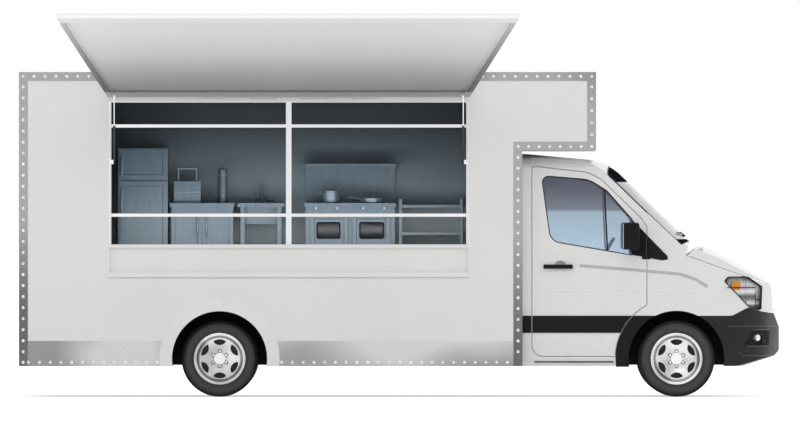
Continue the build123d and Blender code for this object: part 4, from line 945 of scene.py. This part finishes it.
def reflector(tree, where):
    # a silvered bowl with the studio painted on as a reflection: bright and dark bands, one above the other,
    # a pale block, and painted shade at the tip
    x, y, z = axesOf(tree, where)
    high = rangeNode(tree, z, lampTrim["lowZ"], lampTrim["highZ"])
    block = product(tree, stepNode(tree, x, lampTrim["blockX"], 0.003), rangeNode(tree, high, 0.1, 0.5))
    pale = blendColours(tree, rangeNode(tree, high, 0.3, 0.9), (0.35,) * 3, (0.62,) * 3)
    colour = blendColours(tree, block, ramp(tree, high, lampTrim["bands"]), pale)
    # painted shade darkens the bowl towards its tip
    tipShaded = blendColours(tree, rangeNode(tree, x, *lampTrim["tipShadeX"]), (0.05,) * 3, colour)
    return {"Base Color": tipShaded, "Metallic": 0.4, "Roughness": 0.35}


def makeHeadlamp(side, word):
    way, foot = [side * v if k == 1 else v for k, v in enumerate(lampTrim["way"])], lampTrim["footZ"]
    edgeWay = [side * v if k == 1 else v for k, v in enumerate(lampTrim["edgeWay"])]
    bowl = skinPatch("headlamps", f"lamp_reflector_{word}", way, cutsTo(side, lowZ=foot), lampTrim["sheet"])
    bowl.location = (lampTrim["inX"], side * lampTrim["inY"], 0)
    dress(settle(bowl), "reflector")
    ring = edgeRing("headlamps", f"lamp_edge_{word}", edgeWay)
    cleared(ring, "VERT", lambda v: v.co.y * side < 0 or v.co.z < foot, "VERT")
    dress(tubed(ring, lampTrim["edge"]), "rubber")
    cuts = cutsTo(side, *lampTrim["amberX"], *lampTrim["amberZ"])
    patch = skinPatch("headlamps", f"lamp_indicator_{word}", way, cuts, lampTrim["sheet"])
    patch.location = (-lampTrim["amberIn"], -side * lampTrim["amberIn"], 0)
    dress(settle(patch), "amber")
    tree = skinOf("headlamps")
    paths = [skinLine(tree, side, line, lampTrim["steps"], -lampTrim["ribIn"]) for line in lampTrim["ribs"]]
    ribs = [bead("rib", path, lampTrim["rib"], False) for path in paths]
    dress(joined(f"lamp_ribs_{word}", ribs), "rubber")


finish["reflector"] = made("lampReflector", reflector)
onBothSides(makeHeadlamp)


# grille brightwork

grilleTrim = {"tube": 0.011, "half": 0.43, "lowZ": 0.806, "highZ": 1.05, "cutX": 3.42, "steps": 10,
              "slats": 4,
              "slatHalf": 0.402, "slatTube": 0.0125, "sunk": 0.0055}


def onNose(tree, y, z, sunk=0.0):
    hit = tree.ray_cast(Vector((4.5, y, z)), Vector((-1, 0, 0)))[0]
    return Vector(((hit.x if hit else grilleTrim["cutX"]) - sunk, y, z))


def makeGrille():
    tree, steps = skinOf("grille"), grilleTrim["steps"]
    w, low, high = grilleTrim["slatHalf"], box["grille"][0].z, box["grille"][1].z
    slats = []
    for k in range(grilleTrim["slats"]):
        z = low + (high - low) * (k + 1) / (grilleTrim["slats"] + 1)
        line = [onNose(tree, p.x, p.z, grilleTrim["sunk"]) for p in along([(-w, 0, z), (w, 0, z)], 2 * steps)]
        slats.append(bead("slat", line, grilleTrim["slatTube"], False))
    dress(joined("grille_slats", slats), "chrome")
    tree = skinOf("cab_shell", "bonnet", "grille", "front_bumper", "front_wings")
    w, low, high = grilleTrim["half"], grilleTrim["lowZ"], grilleTrim["highZ"]
    path = along([(w, 0, low), (w, 0, high), (-w, 0, high), (-w, 0, low), (w, 0, low)], steps)[:-1]
    dress(bead("grille_surround", [onNose(tree, p.x, p.z) for p in path], grilleTrim["tube"]), "chrome")


makeGrille()


# front bumper: fog lamp pockets, bezels and pressed lines, the lines in a lighter grey that is a painted
# highlight

bumperTrim = {"fog": (3.386, 0.558), "bezel": 0.046, "bezelTube": 0.006, "bezelOut": 0.002, "ring": 24,
              "pocketX": (3.275, 3.50), "pocketZ": (0.478, 0.634), "slantZ": 0.508, "slant": (-0.87, 0, 0.5),
              "sheet": 0.0012, "line": 0.006, "sunk": 0.002, "steps": 12, "dome": 0.034, "domeBack": 0.004,
              "lines": [[(3.345, 0.634), (3.50, 0.634)], [(3.275, 0.490), (3.295, 0.478), (3.50, 0.478)],
                        [(3.10, 0.667), (3.585, 0.667)], [(3.205, 0.432), (3.245, 0.388), (3.54, 0.388)]]}


def makeBumperTrim(side, word):
    tree = skinOf("front_bumper", "headlamps")
    (lowX, highX), (lowZ, highZ) = bumperTrim["pocketX"], bumperTrim["pocketZ"]
    cuts = cutsTo(side, None, highX, lowZ, highZ) + [((lowX, 0, bumperTrim["slantZ"]), bumperTrim["slant"])]
    dress(skinPatch("front_bumper", f"fog_pocket_{word}", (0.3, side, 0), cuts, bumperTrim["sheet"]), "liner")
    x, z = bumperTrim["fog"]
    ring = skinRing(tree, side, (x, z), bumperTrim["bezel"], bumperTrim["ring"], bumperTrim["bezelOut"])
    dress(bead(f"fog_bezel_{word}", ring, bumperTrim["bezelTube"]), "moulding")
    r = bumperTrim["dome"]
    dome = spun([(0, -0.02), (r, -0.02), (r, -0.002), (r * 0.8, 0.005), (r * 0.4, 0.009), (0, 0.01)],
                onSkin(tree, side, x - bumperTrim["domeBack"], z), (0, side, 0), 32)
    dress(called(dome, f"fog_lens_{word}"), "cap")
    # the pressed lines carry a painted highlight
    paths = [skinLine(tree, side, line, bumperTrim["steps"],
                      -bumperTrim["sunk"]) for line in bumperTrim["lines"]]
    lines = [bead("line", path, bumperTrim["line"], False) for path in paths]
    dress(joined(f"bumper_lines_{word}", lines), "pressed")


onBothSides(makeBumperTrim)
print("front end trim made")


# black corner trim behind the mirrors, over the door gap

sail = {"top": (2.183, 0, 1.692), "way": (0.718, 0, 0.696), "lowZ": 1.302, "doorX": (2.29, 2.335),
        "shellX": (2.335, 2.37), "sheet": 0.0015}


def makeSail(side, word):
    for node, name, body, span in ((f"cab_door_{word}", f"sail_door_{word}", f"cab_door_{word}",
                                    sail["doorX"]),
                                   ("cab_shell", f"sail_shell_{word}", "chassis", sail["shellX"])):
        cuts = cutsTo(side, *span, sail["lowZ"]) + [(sail["top"], sail["way"])]
        dress(skinPatch(node, name, (0, side, 0), cuts, sail["sheet"]), "moulding", body)


onBothSides(makeSail)


# door handle bowls: flat dishes with painted shade that darkens them towards the top

handle = {"centre": (1.517, 1.232), "radius": 0.06, "ring": 28, "thick": 0.0012, "out": 0.0005,
          "shades": [(0.0, 0.86), (0.42, 0.62), (0.75, 0.33), (1.0, 0.26)]}


def bowlShade(tree, where):
    middle, r = handle["centre"][1], handle["radius"]
    high = rangeNode(tree, axesOf(tree, where)["Z"], middle - r, middle + r)
    return {"Base Color": ramp(tree, high, handle["shades"]), "Roughness": 0.45}


def makeBowl(side, word):
    body = f"cab_door_{word}"
    rim = skinRing(skinOf(body), side, handle["centre"], handle["radius"], handle["ring"], handle["out"])
    dish = moved(circled(len(rim), "NGON"), rim)
    inEdit(dish, lambda: bpy.ops.mesh.poke())
    modified(dish, "SOLIDIFY", thickness=handle["thick"], offset=0)
    dress(called(mend(dish), f"handle_bowl_{word}"), "bowl", body)


finish["bowl"] = made("handleBowlPaintedShade", bowlShade)
onBothSides(makeBowl)


# tyres with grooves, shoulder lugs and fine radial ticks; caps and nuts on the wheels

tyreTrim = {"half": [(0.233, 0.100), (0.249, 0.1035), (0.262, 0.1105), (0.286, 0.1122), (0.312, 0.1115),
                     (0.331, 0.1085), (0.345, 0.1), (0.3525, 0.090), (0.3585, 0.084), (0.360, 0.078),
                     (0.3605, 0.050),
                     (0.353, 0.048), (0.353, 0.041), (0.3605, 0.039), (0.3607, 0.0045), (0.353, 0.0035)],
            "steps": 96, "lug": (72, 0.0085, 0.345, 0.3604, 0.070, 0.0925),
            "tick": (144, 0.0013, 0.3365, 0.3485, 0.097, 0.1072), "innerR": 0.24, "outerR": 0.36,
            "shades": [(0.0, 0.010), (0.12, 0.035), (0.45, 0.060), (0.72, 0.036), (0.83, 0.008),
                       (1.0, 0.005)]}
nuts = {"count": 6, "circle": 0.070, "head": (0.092, 0.101, 0.0115, 6, 0.0015),
        "hollow": (0.078, 0.0842, 0.0175, 16),
        "cap": [(0, 0.0955), (0.0535, 0.0955), (0.0545, 0.0965), (0.050, 0.0985), (0.030, 0.0992),
                (0, 0.0995)]}


def tyreWall(tree, where, centre):
    # mid-grey sidewall between a dark bead and a black shoulder
    x, y, z = axesOf(tree, mapped(tree, where, move=(-centre.x, 0, -centre.z)))
    square = mathNode(tree, "ADD", product(tree, x, x), product(tree, z, z))
    out = rangeNode(tree, mathNode(tree, "SQRT", square), tyreTrim["innerR"], tyreTrim["outerR"])
    tone = ramp(tree, out, tyreTrim["shades"])
    dusty = rangeNode(tree, useGroup(tree, grainGroup, where, Scale=300.0)["Tone"], 0.3, 0.8, 0.0, 0.12)
    return {"Base Color": blendColours(tree, dusty, tone, (0.06, 0.057, 0.052)), "Roughness": 0.62,
            "Specular IOR Level": 0.25}


def ringOf(size, side):
    # a small block repeated round the wheel's axle
    count, half, low, high, near, far = size
    sides = sorted((side * near, side * far))
    piece = slab((-half, sides[0], low), (half, sides[1], high))
    return inEdit(piece, lambda: bpy.ops.mesh.spin(steps=count - 1, angle=2 * pi * (count - 1) / count,
                                                   dupli=True,
                                                   center=(0, 0, 0), axis=(0, 1, 0)))


def makeWheelTrim(end, side, word):
    centre, body, half = wheelCentre(end, word), f"wheel_{end}_{word}", tyreTrim["half"]
    rings = [ringOf(tyreTrim[key], k) for key in ("lug", "tick") for k in (1, -1)]
    profile = [(r, -h) for r, h in half] + [(r, h) for r, h in reversed(half)]
    wall = spun(profile, (0, 0, 0), (0, 1, 0), tyreTrim["steps"])
    tyre = joined(f"tyre_tread_{end}_{word}", [wall, *rings])
    tyre.location = centre
    dress(settle(tyre), f"{end}Tyre", body)
    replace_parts(tyre, f"tyre_{end}_{word}")
    cap = called(spun(nuts["cap"], centre, (0, side, 0), 40), f"hub_cap_{end}_{word}")
    dress(cap, "cap", body)
    turns = [2 * pi * k / nuts["count"] for k in range(nuts["count"])]
    spots = [centre + Vector((nuts["circle"] * sin(turn), 0, nuts["circle"] * cos(turn))) for turn in turns]
    for name, size, key, slot in (("wheel_nuts", "head", "cap", "bright_rod"),
                                  ("nut_hollows", "hollow", "liner", "black_plastic")):
        low, high, *shape = nuts[size]
        near, far = Vector((0, side * low, 0)), Vector((0, side * high, 0))
        pegs = [rod(spot + near, spot + far, *shape) for spot in spots]
        dress(joined(f"{name}_{end}_{word}", pegs), key, body)


for end in ("front", "rear"):
    finish[f"{end}Tyre"] = made(f"{end}TyreWall", tyreWall, wheelCentre(end, "left"))
    onBothSides(lambda side, word: makeWheelTrim(end, side, word))
print("wheels made")


# kitchen fittings: places are (x, z) on the fronts, and tops and profiles stand on z

kitchen = {
    "doors": [((-2.675, -2.226), (0.91, 2.035)), ((-2.675, -2.226), (2.072, 2.342)),
              ((-2.182, -1.893), (0.93, 1.77)),
              ((-1.882, -1.593), (0.93, 1.77)), ((-0.852, -0.498), (1.14, 1.72)),
              ((-0.452, -0.098), (1.14, 1.72))],
    "doorThick": 0.008, "frame": 0.035, "step": 0.006, "sunk": -0.004,
    "grips": [((-2.652, 1.72), (-2.652, 1.98)), ((-2.652, 2.10), (-2.652, 2.26)),
              ((-1.93, 1.52), (-1.93, 1.70)),
              ((-1.845, 1.52), (-1.845, 1.70)), ((-0.83, 1.70), (-0.52, 1.70)),
              ((-0.43, 1.70), (-0.12, 1.70))],
    "grip": 0.008, "gripOff": 0.035, "windows": ((-0.795, -0.568), (-0.388, -0.151)),
    "windowZ": (1.495, 1.655),
    "windowOnZ": 1.43, "pane": 0.004, "paneEdge": 0.02,
    "knobs": [(x, 1.785, 0.021, 0.03) for x in (-0.80, -0.60, -0.35, -0.15)]
             + [(x, 1.875, 0.014, 0.022) for x in (-2.10, -1.96)],
    "taps": [(-1.41, 0.95, 1.833), (-1.24, 0.95, 1.833)],
    "tap": [(0, 0), (0.014, 0), (0.014, 0.02), (0.024, 0.028), (0.024, 0.044), (0, 0.05)]}
cookware = {
    "pot": (-0.657, 0.62, 1.835), "potSize": (0.088, 0.115), "pan": (-0.262, 0.60, 1.835),
    "panSize": (0.118, 0.045),
    "lid": [(0, 0.117), (0.092, 0.117), (0.09, 0.122), (0.05, 0.132), (0, 0.136)],
    "lidGrip": [(0, 0.132), (0.008, 0.132), (0.008, 0.145), (0.017, 0.148), (0.015, 0.157), (0, 0.158)],
    "ear": [(0.084, -0.035, 0.09), (0.114, -0.028, 0.092), (0.114, 0.028, 0.092), (0.084, 0.035, 0.09)],
    "earTube": 0.0055,
    "stick": [(-0.375, 0.60, 1.871), (-0.42, 0.592, 1.883), (-0.50, 0.58, 1.893)], "stickTube": 0.009}
machines = {
    "levers": [((-2.115, 0.60, 2.02), (-2.115, 0.56, 2.165), 0.007, 12),
               ((-1.945, 0.60, 2.02), (-1.945, 0.56, 2.165), 0.007, 12),
               ((-2.125, 0.557, 2.165), (-1.935, 0.557, 2.165), 0.010, 16, 0.003)],
    "seam": ((-2.15, 0.5545, 1.936), (-1.908, 0.562, 1.944), 0.001), "urn": (-1.693, 0.70),
    "dome": [(0.044, -0.003), (0.046, 0.0), (0.04, 0.012), (0.022, 0.021), (0.0, 0.024), (0, -0.003)],
    "knob": [(0, 0.02), (0.006, 0.022), (0.006, 0.03), (0.012, 0.034), (0.010, 0.043), (0, 0.044)],
    "spout": [((-1.693, 0.655, 1.90), (-1.693, 0.615, 1.90), 0.008, 14),
              ((-1.693, 0.62, 1.905), (-1.693, 0.62, 1.875), 0.007, 14),
              ((-1.711, 0.62, 1.918), (-1.675, 0.62, 1.918), 0.005, 10),
              ((-1.693, 0.62, 1.900), (-1.693, 0.62, 1.918), 0.004, 10)],
    "bandZ": (1.86, 2.10), "band": [(0.0455, -0.004), (0.0475, -0.003), (0.0475, 0.003), (0.0455, 0.004)]}
kitchenTree = skinOf("kitchen_tables", "cooker", "fridge", "appliances")
up = (0, 0, 1)


def frontY(x, z):
    hit = kitchenTree.ray_cast(Vector((x, -0.7, z)), Vector((0, 1, 0)))[0]
    return hit.y if hit else 1.0


def doorPanel(xs, zs):
    y = frontY(sum(xs) / 2, sum(zs) / 2)
    piece = slab((xs[0], y - kitchen["doorThick"], zs[0]), (xs[1], y, zs[1]))

    def shape():
        bpy.ops.mesh.inset(thickness=kitchen["frame"], depth=0)
        bpy.ops.mesh.inset(thickness=kitchen["step"], depth=kitchen["sunk"])
    return inEdit(piece, shape, lambda f: f.normal.y < -0.9, "FACE")


def barHandle(start, end):
    y, radius, off = frontY(*start), kitchen["grip"], kitchen["gripOff"]
    a, b = Vector((start[0], y - off, start[1])), Vector((end[0], y - off, end[1]))
    back = Vector((0, off + 0.001, 0))
    feet = [rod(a.lerp(b, k), a.lerp(b, k) + back, radius * 0.8, 12) for k in (0.08, 0.92)]
    return [rod(a, b, radius, 16, 0.002), *feet]


def knob(x, z, radius, deep):
    profile = [(0, -0.001), (radius, -0.001), (radius, deep * 0.3), (radius * 0.82, deep * 0.4),
               (radius * 0.75, deep),
               (0, deep)]
    return spun(profile, (x, frontY(x, z), z), (0, -1, 0), 24)


def pan(centre, radius, high):
    wall, rim = 0.004, high + 0.002
    profile = [(0, 0), (radius - 0.008, 0), (radius, 0.01), (radius, high), (radius + 0.006, rim),
               (radius - wall, rim),
               (radius - wall, 0.012), (0, 0.008)]
    return spun(profile, centre, up, 40)


def makeKitchen():
    dress(joined("kitchen_doors", [doorPanel(xs, zs) for xs, zs in kitchen["doors"]]), "stainless")
    grips = [piece for ends in kitchen["grips"] for piece in barHandle(*ends)]
    dress(joined("kitchen_grips", grips), "rail")
    panes, (lowZ, highZ) = [], kitchen["windowZ"]
    for low, high in kitchen["windows"]:
        y = frontY((low + high) / 2, kitchen["windowOnZ"]) - kitchen["doorThick"]
        near, far = y - kitchen["pane"], y + kitchen["pane"]
        panes.append(slab((low, near, lowZ), (high, far, highZ), kitchen["paneEdge"], 4))
    dress(joined("oven_windows", panes), "ovenGlass")
    pot = Vector(cookware["pot"])
    pieces = [pan(pot, *cookware["potSize"]), spun(cookware["lid"], pot, up, 40)]
    pieces.append(spun(cookware["lidGrip"], pot, up, 24))
    for k in (1, -1):
        ear = [pot + Vector((k * x, y, z)) for x, y, z in cookware["ear"]]
        pieces.append(bead("ear", ear, cookware["earTube"], False))
    pieces.append(pan(cookware["pan"], *cookware["panSize"]))
    pieces.append(bead("stick", cookware["stick"], cookware["stickTube"], False))
    dress(joined("cookware", pieces), "rail")
    knobs = [knob(*size) for size in kitchen["knobs"]]
    knobs += [spun(kitchen["tap"], spot, up, 20) for spot in kitchen["taps"]]
    dress(joined("kitchen_controls", knobs), "rail")
    x, y = machines["urn"]
    top = (x, y, box["appliances"][1].z)
    pieces = [rod(*lever) for lever in machines["levers"]] + [slab(*machines["seam"])]
    pieces += [spun(machines["dome"], top, up, 32), spun(machines["knob"], top, up, 20)]
    pieces += [rod(*spout) for spout in machines["spout"]]
    pieces += [spun(machines["band"], (x, y, z), up, 36) for z in machines["bandZ"]]
    dress(joined("counter_machines", pieces), "rail")


makeKitchen()
print("kitchen made")


# driver and passenger seats: pedestals, and stitched pads puffed up over their foam

seat = {"centreY": 0.43, "base": ((1.40, -0.20, 0.641), (1.78, 0.20, 0.944)), "baseEdge": 0.02,
        "squab": ((1.350, -0.235, 0.956), (1.850, 0.235, 1.070)), "squabEdge": 0.038,
        "back": [(1.352, 1.100), (1.284, 1.685), (1.356, 1.692), (1.438, 1.100)], "backHalf": 0.232,
        "backEdge": 0.03,
        "head": [(1.302, 1.722), (1.296, 1.862), (1.360, 1.866), (1.352, 1.726)], "headHalf": 0.118,
        "headEdge": 0.022,
        "post": 0.007, "postX": 1.324, "postY": 0.06, "postZ": (1.66, 1.76), "panIn": 0.01, "panEdge": 0.004,
        "seamY": 0.158, "seamWide": 0.007, "channels": 3, "channelWide": 0.0056,
        "rowsZ": [1.22, 1.36, 1.50, 1.62],
        "squabFoot": 0.02, "squabSeam": 0.06, "squabTop": 0.02, "backFootZ": 1.125, "headFootZ": 1.738,
        "voxel": 0.010, "cap": 0.011, "frames": 20, "pressure": 4.0, "fill": 0.7}


def woven(tree, where):
    weave = addNode(tree, "TexWave", {"Vector": where, "Scale": 120.0, "Distortion": 0.6}).outputs["Fac"]
    across = addNode(tree, "TexWave", {"Vector": where, "Scale": 120.0}, bands_direction="Z").outputs["Fac"]
    thread = product(tree, weave, across)
    shade = product(tree, noiseNode(tree, where, 6.0, 3.0), 0.5)
    tone = mathNode(tree, "ADD", product(tree, thread, 0.5), shade)
    return {"Base Color": blendColours(tree, tone, (0.035, 0.045, 0.055), (0.085, 0.10, 0.115)),
            "Roughness": 0.9,
            "Sheen Weight": 0.25, "Normal": bumped(tree, thread, 0.3, 0.0008)}


def puffed(piece, held):
    # closed foam shape, remeshed evenly, then blown up softly between its held seams
    onlySelect(piece)
    piece.data.remesh_voxel_size = seat["voxel"]
    bpy.ops.object.voxel_remesh()
    start = [corner.co.copy() for corner in piece.data.vertices]
    group = piece.vertex_groups.new(name="held")
    group.add([k for k, place in enumerate(start) if held(place)], 1.0, "REPLACE")
    cloth = piece.modifiers.new("pad", "CLOTH")
    cloth.settings.use_pressure = True
    cloth.settings.uniform_pressure_force = seat["pressure"]
    cloth.settings.effector_weights.gravity = 0
    cloth.settings.vertex_group_mass = "held"
    cloth.point_cache.frame_end = seat["frames"]
    for step in range(1, seat["frames"] + 1):
        bpy.context.scene.frame_set(step)
    onlySelect(piece)
    bpy.ops.object.modifier_apply(modifier=cloth.name)
    for corner, place in zip(piece.data.vertices, start):
        shift = corner.co - place
        if shift.length > seat["cap"]:
            corner.co = place + shift.normalized() * seat["cap"]
    bpy.context.scene.frame_set(1)
    return modified(piece, "SUBSURF", levels=1, render_levels=1)


def makeSeats():
    (lowX, lowY, lowZ), (highX, highY, highZ) = seat["squab"]
    seam, wide, narrow = seat["seamY"], seat["seamWide"], seat["channelWide"]
    gaps = [lowX + (highX - lowX) * (k + 1) / (seat["channels"] + 1) for k in range(seat["channels"])]
    squab = puffed(slab(*seat["squab"], seat["squabEdge"], 4), lambda p: p.z < lowZ + seat["squabFoot"]
                   or (abs(abs(p.y) - seam) < wide and p.z > lowZ + seat["squabSeam"])
                   or (abs(p.y) < seam and p.z > highZ - seat["squabTop"]
                       and any(abs(p.x - x) < narrow for x in gaps)))
    back = puffed(plate(seat["back"], seat["backHalf"], seat["backEdge"]), lambda p: p.z < seat["backFootZ"]
                  or abs(abs(p.y) - seam) < wide
                  or (abs(p.y) < seam and any(abs(p.z - z) < narrow for z in seat["rowsZ"])))
    head = puffed(plate(seat["head"], seat["headHalf"], seat["headEdge"]), lambda p: p.z < seat["headFootZ"])
    for name, piece in (("seat_squabs", squab), ("seat_backs", back), ("seat_heads", head)):
        twins = [copyOf(piece, name, (0, side * seat["centreY"], 0)) for side in (1, -1)]
        bpy.data.objects.remove(piece)
        pair = dress(joined(name, twins), "fabric", angle=50)
        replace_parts(pair, "seats")
    (ax, ay, az), (bx, by, bz) = seat["base"]
    (footZ, topZ), x, inset, hard = seat["postZ"], seat["postX"], seat["panIn"], []
    for y in (seat["centreY"], -seat["centreY"]):
        hard += [slab((ax, ay + y, az), (bx, by + y, bz), seat["baseEdge"], 3),
                 slab((lowX + inset, lowY + inset + y, bz - 0.002), (highX - inset, highY - inset + y, lowZ),
                      seat["panEdge"])]
        posts = (y - seat["postY"], y + seat["postY"])
        hard += [rod((x, post, footZ), (x, post, topZ), seat["post"], 12) for post in posts]
    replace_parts(dress(joined("seat_pedestals", hard), "dash"), "seats")


finish["fabric"] = made("seatFabric", woven)
makeSeats()
print("seats padded")


# serving opening: bright flange, and dark caps on the studs of the struts

opening = {"x": (-2.748, 0.643), "z": (1.445, 2.80), "tube": 0.0055, "studX": (-2.704, 0.596), "studZ": 2.223,
           "studR": 0.014}


def makeOpening():
    (low, high), (foot, top), y, r = opening["x"], opening["z"], -wallY, opening["studR"]
    edge = [(low, y, foot), (low, y, top), (high, y, top), (high, y, foot)]
    dress(bead("opening_flange", edge, opening["tube"], False, 3), "bar")
    tree = skinOf("serving_frame", "box_side_right")
    studs = [spun([(0, -0.004), (r, -0.004), (r, 0.001), (r * 0.7, 0.003), (0, 0.004)],
                  onSkin(tree, -1, x, opening["studZ"]), (0, -1, 0), 20) for x in opening["studX"]]
    dress(joined("strut_stud_caps", studs), "rubber")


makeOpening()


# rear end: blank plate in its frame, lock bar and reflectors, each (y, z, half width, half height, out, edge)

rear = {"face": 3.602, "plate": (0.62, 0.70, 0.26, 0.055, 0.003, 0.001),
        "frame": (0.62, 0.70, 0.268, 0.063, 0.0016, 0.0005), "lockY": -0.30, "lockZ": (0.98, 2.70),
        "lock": 0.0042,
        "guides": [(-0.30, z + 0.0225, 0.03, 0.0225, 0.0095, 0.002) for z in (1.08, 1.58, 2.08, 2.58)],
        "pull": (-0.28, 1.74, 0.012, 0.12, 0.010, 0.003),
        "lights": [(0.93, 0.49, 0.045, 0.02, 0.006, 0.002), (0.66, 2.945, 0.06, 0.02, 0.009, 0.003)]}


def rearSlab(y, z, wide, high, out, edge):
    x = -rear["face"]
    return slab((x - out, y - wide, z - high), (x + 0.001, y + wide, z + high), edge)


def makeRear():
    dress(called(rearSlab(*rear["plate"]), "number_plate_rear"), "paint")
    dress(called(rearSlab(*rear["frame"]), "plate_frame_rear"), "moulding")
    x, y, (lowZ, highZ) = -rear["face"] - 0.004, rear["lockY"], rear["lockZ"]
    bars = [rod((x, y, lowZ), (x, y, highZ), rear["lock"], 14)]
    bars += [rearSlab(*row) for row in rear["guides"] + [rear["pull"]]]
    dress(joined("rear_lock_bar", bars), "bar", "rear_door")
    lights = [rearSlab(side * row[0], *row[1:]) for side in (1, -1) for row in rear["lights"]]
    dress(joined("rear_reflectors", lights), "redLens")


makeRear()
print("rear end made")


# floor, light and camera; a lamp is (place, aim, size, power)

studio = {"floorTone": 0.90, "floorStep": 0.02, "floorLift": 0.5, "floorZ": -0.001, "floorHalf": 700,
          "skyLight": 0.87,
          "lens": 900, "sensor": 36, "far": 2000, "frameWide": 7.568, "aim": (0, -1.1, 1.750),
          "lamps": {"keyLamp": ((-2, -12, 11), (0, 0, 1.4), (14, 6), 196),
                    "fillLamp": ((9, 8, 7), (0, 0, 1.5), (8, 6), 140),
                    "roomLamp": ((-1.05, -0.72, 1.62), (-1.05, 1.0, 1.70), (3.3, 0.3), 20)}}


def seenRays(tree):
    # 1 for what the eye sees, straight or in a mirror or through glass
    rays = addNode(tree, "LightPath", {}).outputs
    bent = mathNode(tree, "MAXIMUM", rays["Is Glossy Ray"], rays["Is Transmission Ray"])
    return mathNode(tree, "MAXIMUM", rays["Is Camera Ray"], bent)


def floorLook(tree, where):
    low, high = studio["floorTone"], studio["floorTone"] + studio["floorStep"]
    tone = rangeNode(tree, noiseNode(tree, where, 0.6, 3.0), *surface["even"])
    return {"Base Color": blendColours(tree, tone, (low,) * 3, (high,) * 3), "Roughness": 0.9,
            "Specular IOR Level": 0.1, "Emission Color": (1, 1, 1),
            "Emission Strength": product(tree, seenRays(tree), studio["floorLift"])}


def makeFloor():
    deselectAll()
    bpy.ops.mesh.primitive_plane_add(size=2, location=(0, 0, studio["floorZ"]))
    floor = bpy.context.object
    floor.scale = (studio["floorHalf"], studio["floorHalf"], 1)
    settle(floor, "studioFloor")
    floor.data.materials.append(made("studioFloor", floorLook))


def makeSky():
    sky = bpy.data.worlds.new("studioSky")
    bpy.context.scene.world = sky
    sky.use_nodes = True
    tree = sky.node_tree
    lift = product(tree, seenRays(tree), 1.0 - studio["skyLight"])
    strength = mathNode(tree, "ADD", lift, studio["skyLight"])
    fill(tree, tree.nodes["Background"], {"Color": (1, 1, 1), "Strength": strength})


def makeLamp(name, place, aim, size, power):
    lamp = bpy.data.lights.new(name, "AREA")
    lamp.shape = "RECTANGLE"
    lamp.size, lamp.size_y = size
    lamp.energy = power
    holder = bpy.data.objects.new(name, lamp)
    bpy.context.scene.collection.objects.link(holder)
    holder.location = place
    holder.visible_camera = False
    holder.rotation_euler = (Vector(aim) - Vector(place)).to_track_quat("-Z", "Y").to_euler()


def makeCamera():
    view = bpy.data.cameras.new("sideView")
    view.lens, view.sensor_width, view.clip_end = studio["lens"], studio["sensor"], studio["far"]
    camera = bpy.data.objects.new("sideView", view)
    bpy.context.scene.collection.objects.link(camera)
    x, y, z = studio["aim"]
    camera.location = (x, y - studio["frameWide"] * studio["lens"] / studio["sensor"], z)
    camera.rotation_euler = (pi / 2, 0, 0)
    bpy.context.scene.camera = camera
    bpy.context.scene.view_settings.view_transform = "Standard"


makeFloor()
makeSky()
for name, settings in studio["lamps"].items():
    makeLamp(name, *settings)
makeCamera()
print("stage set")
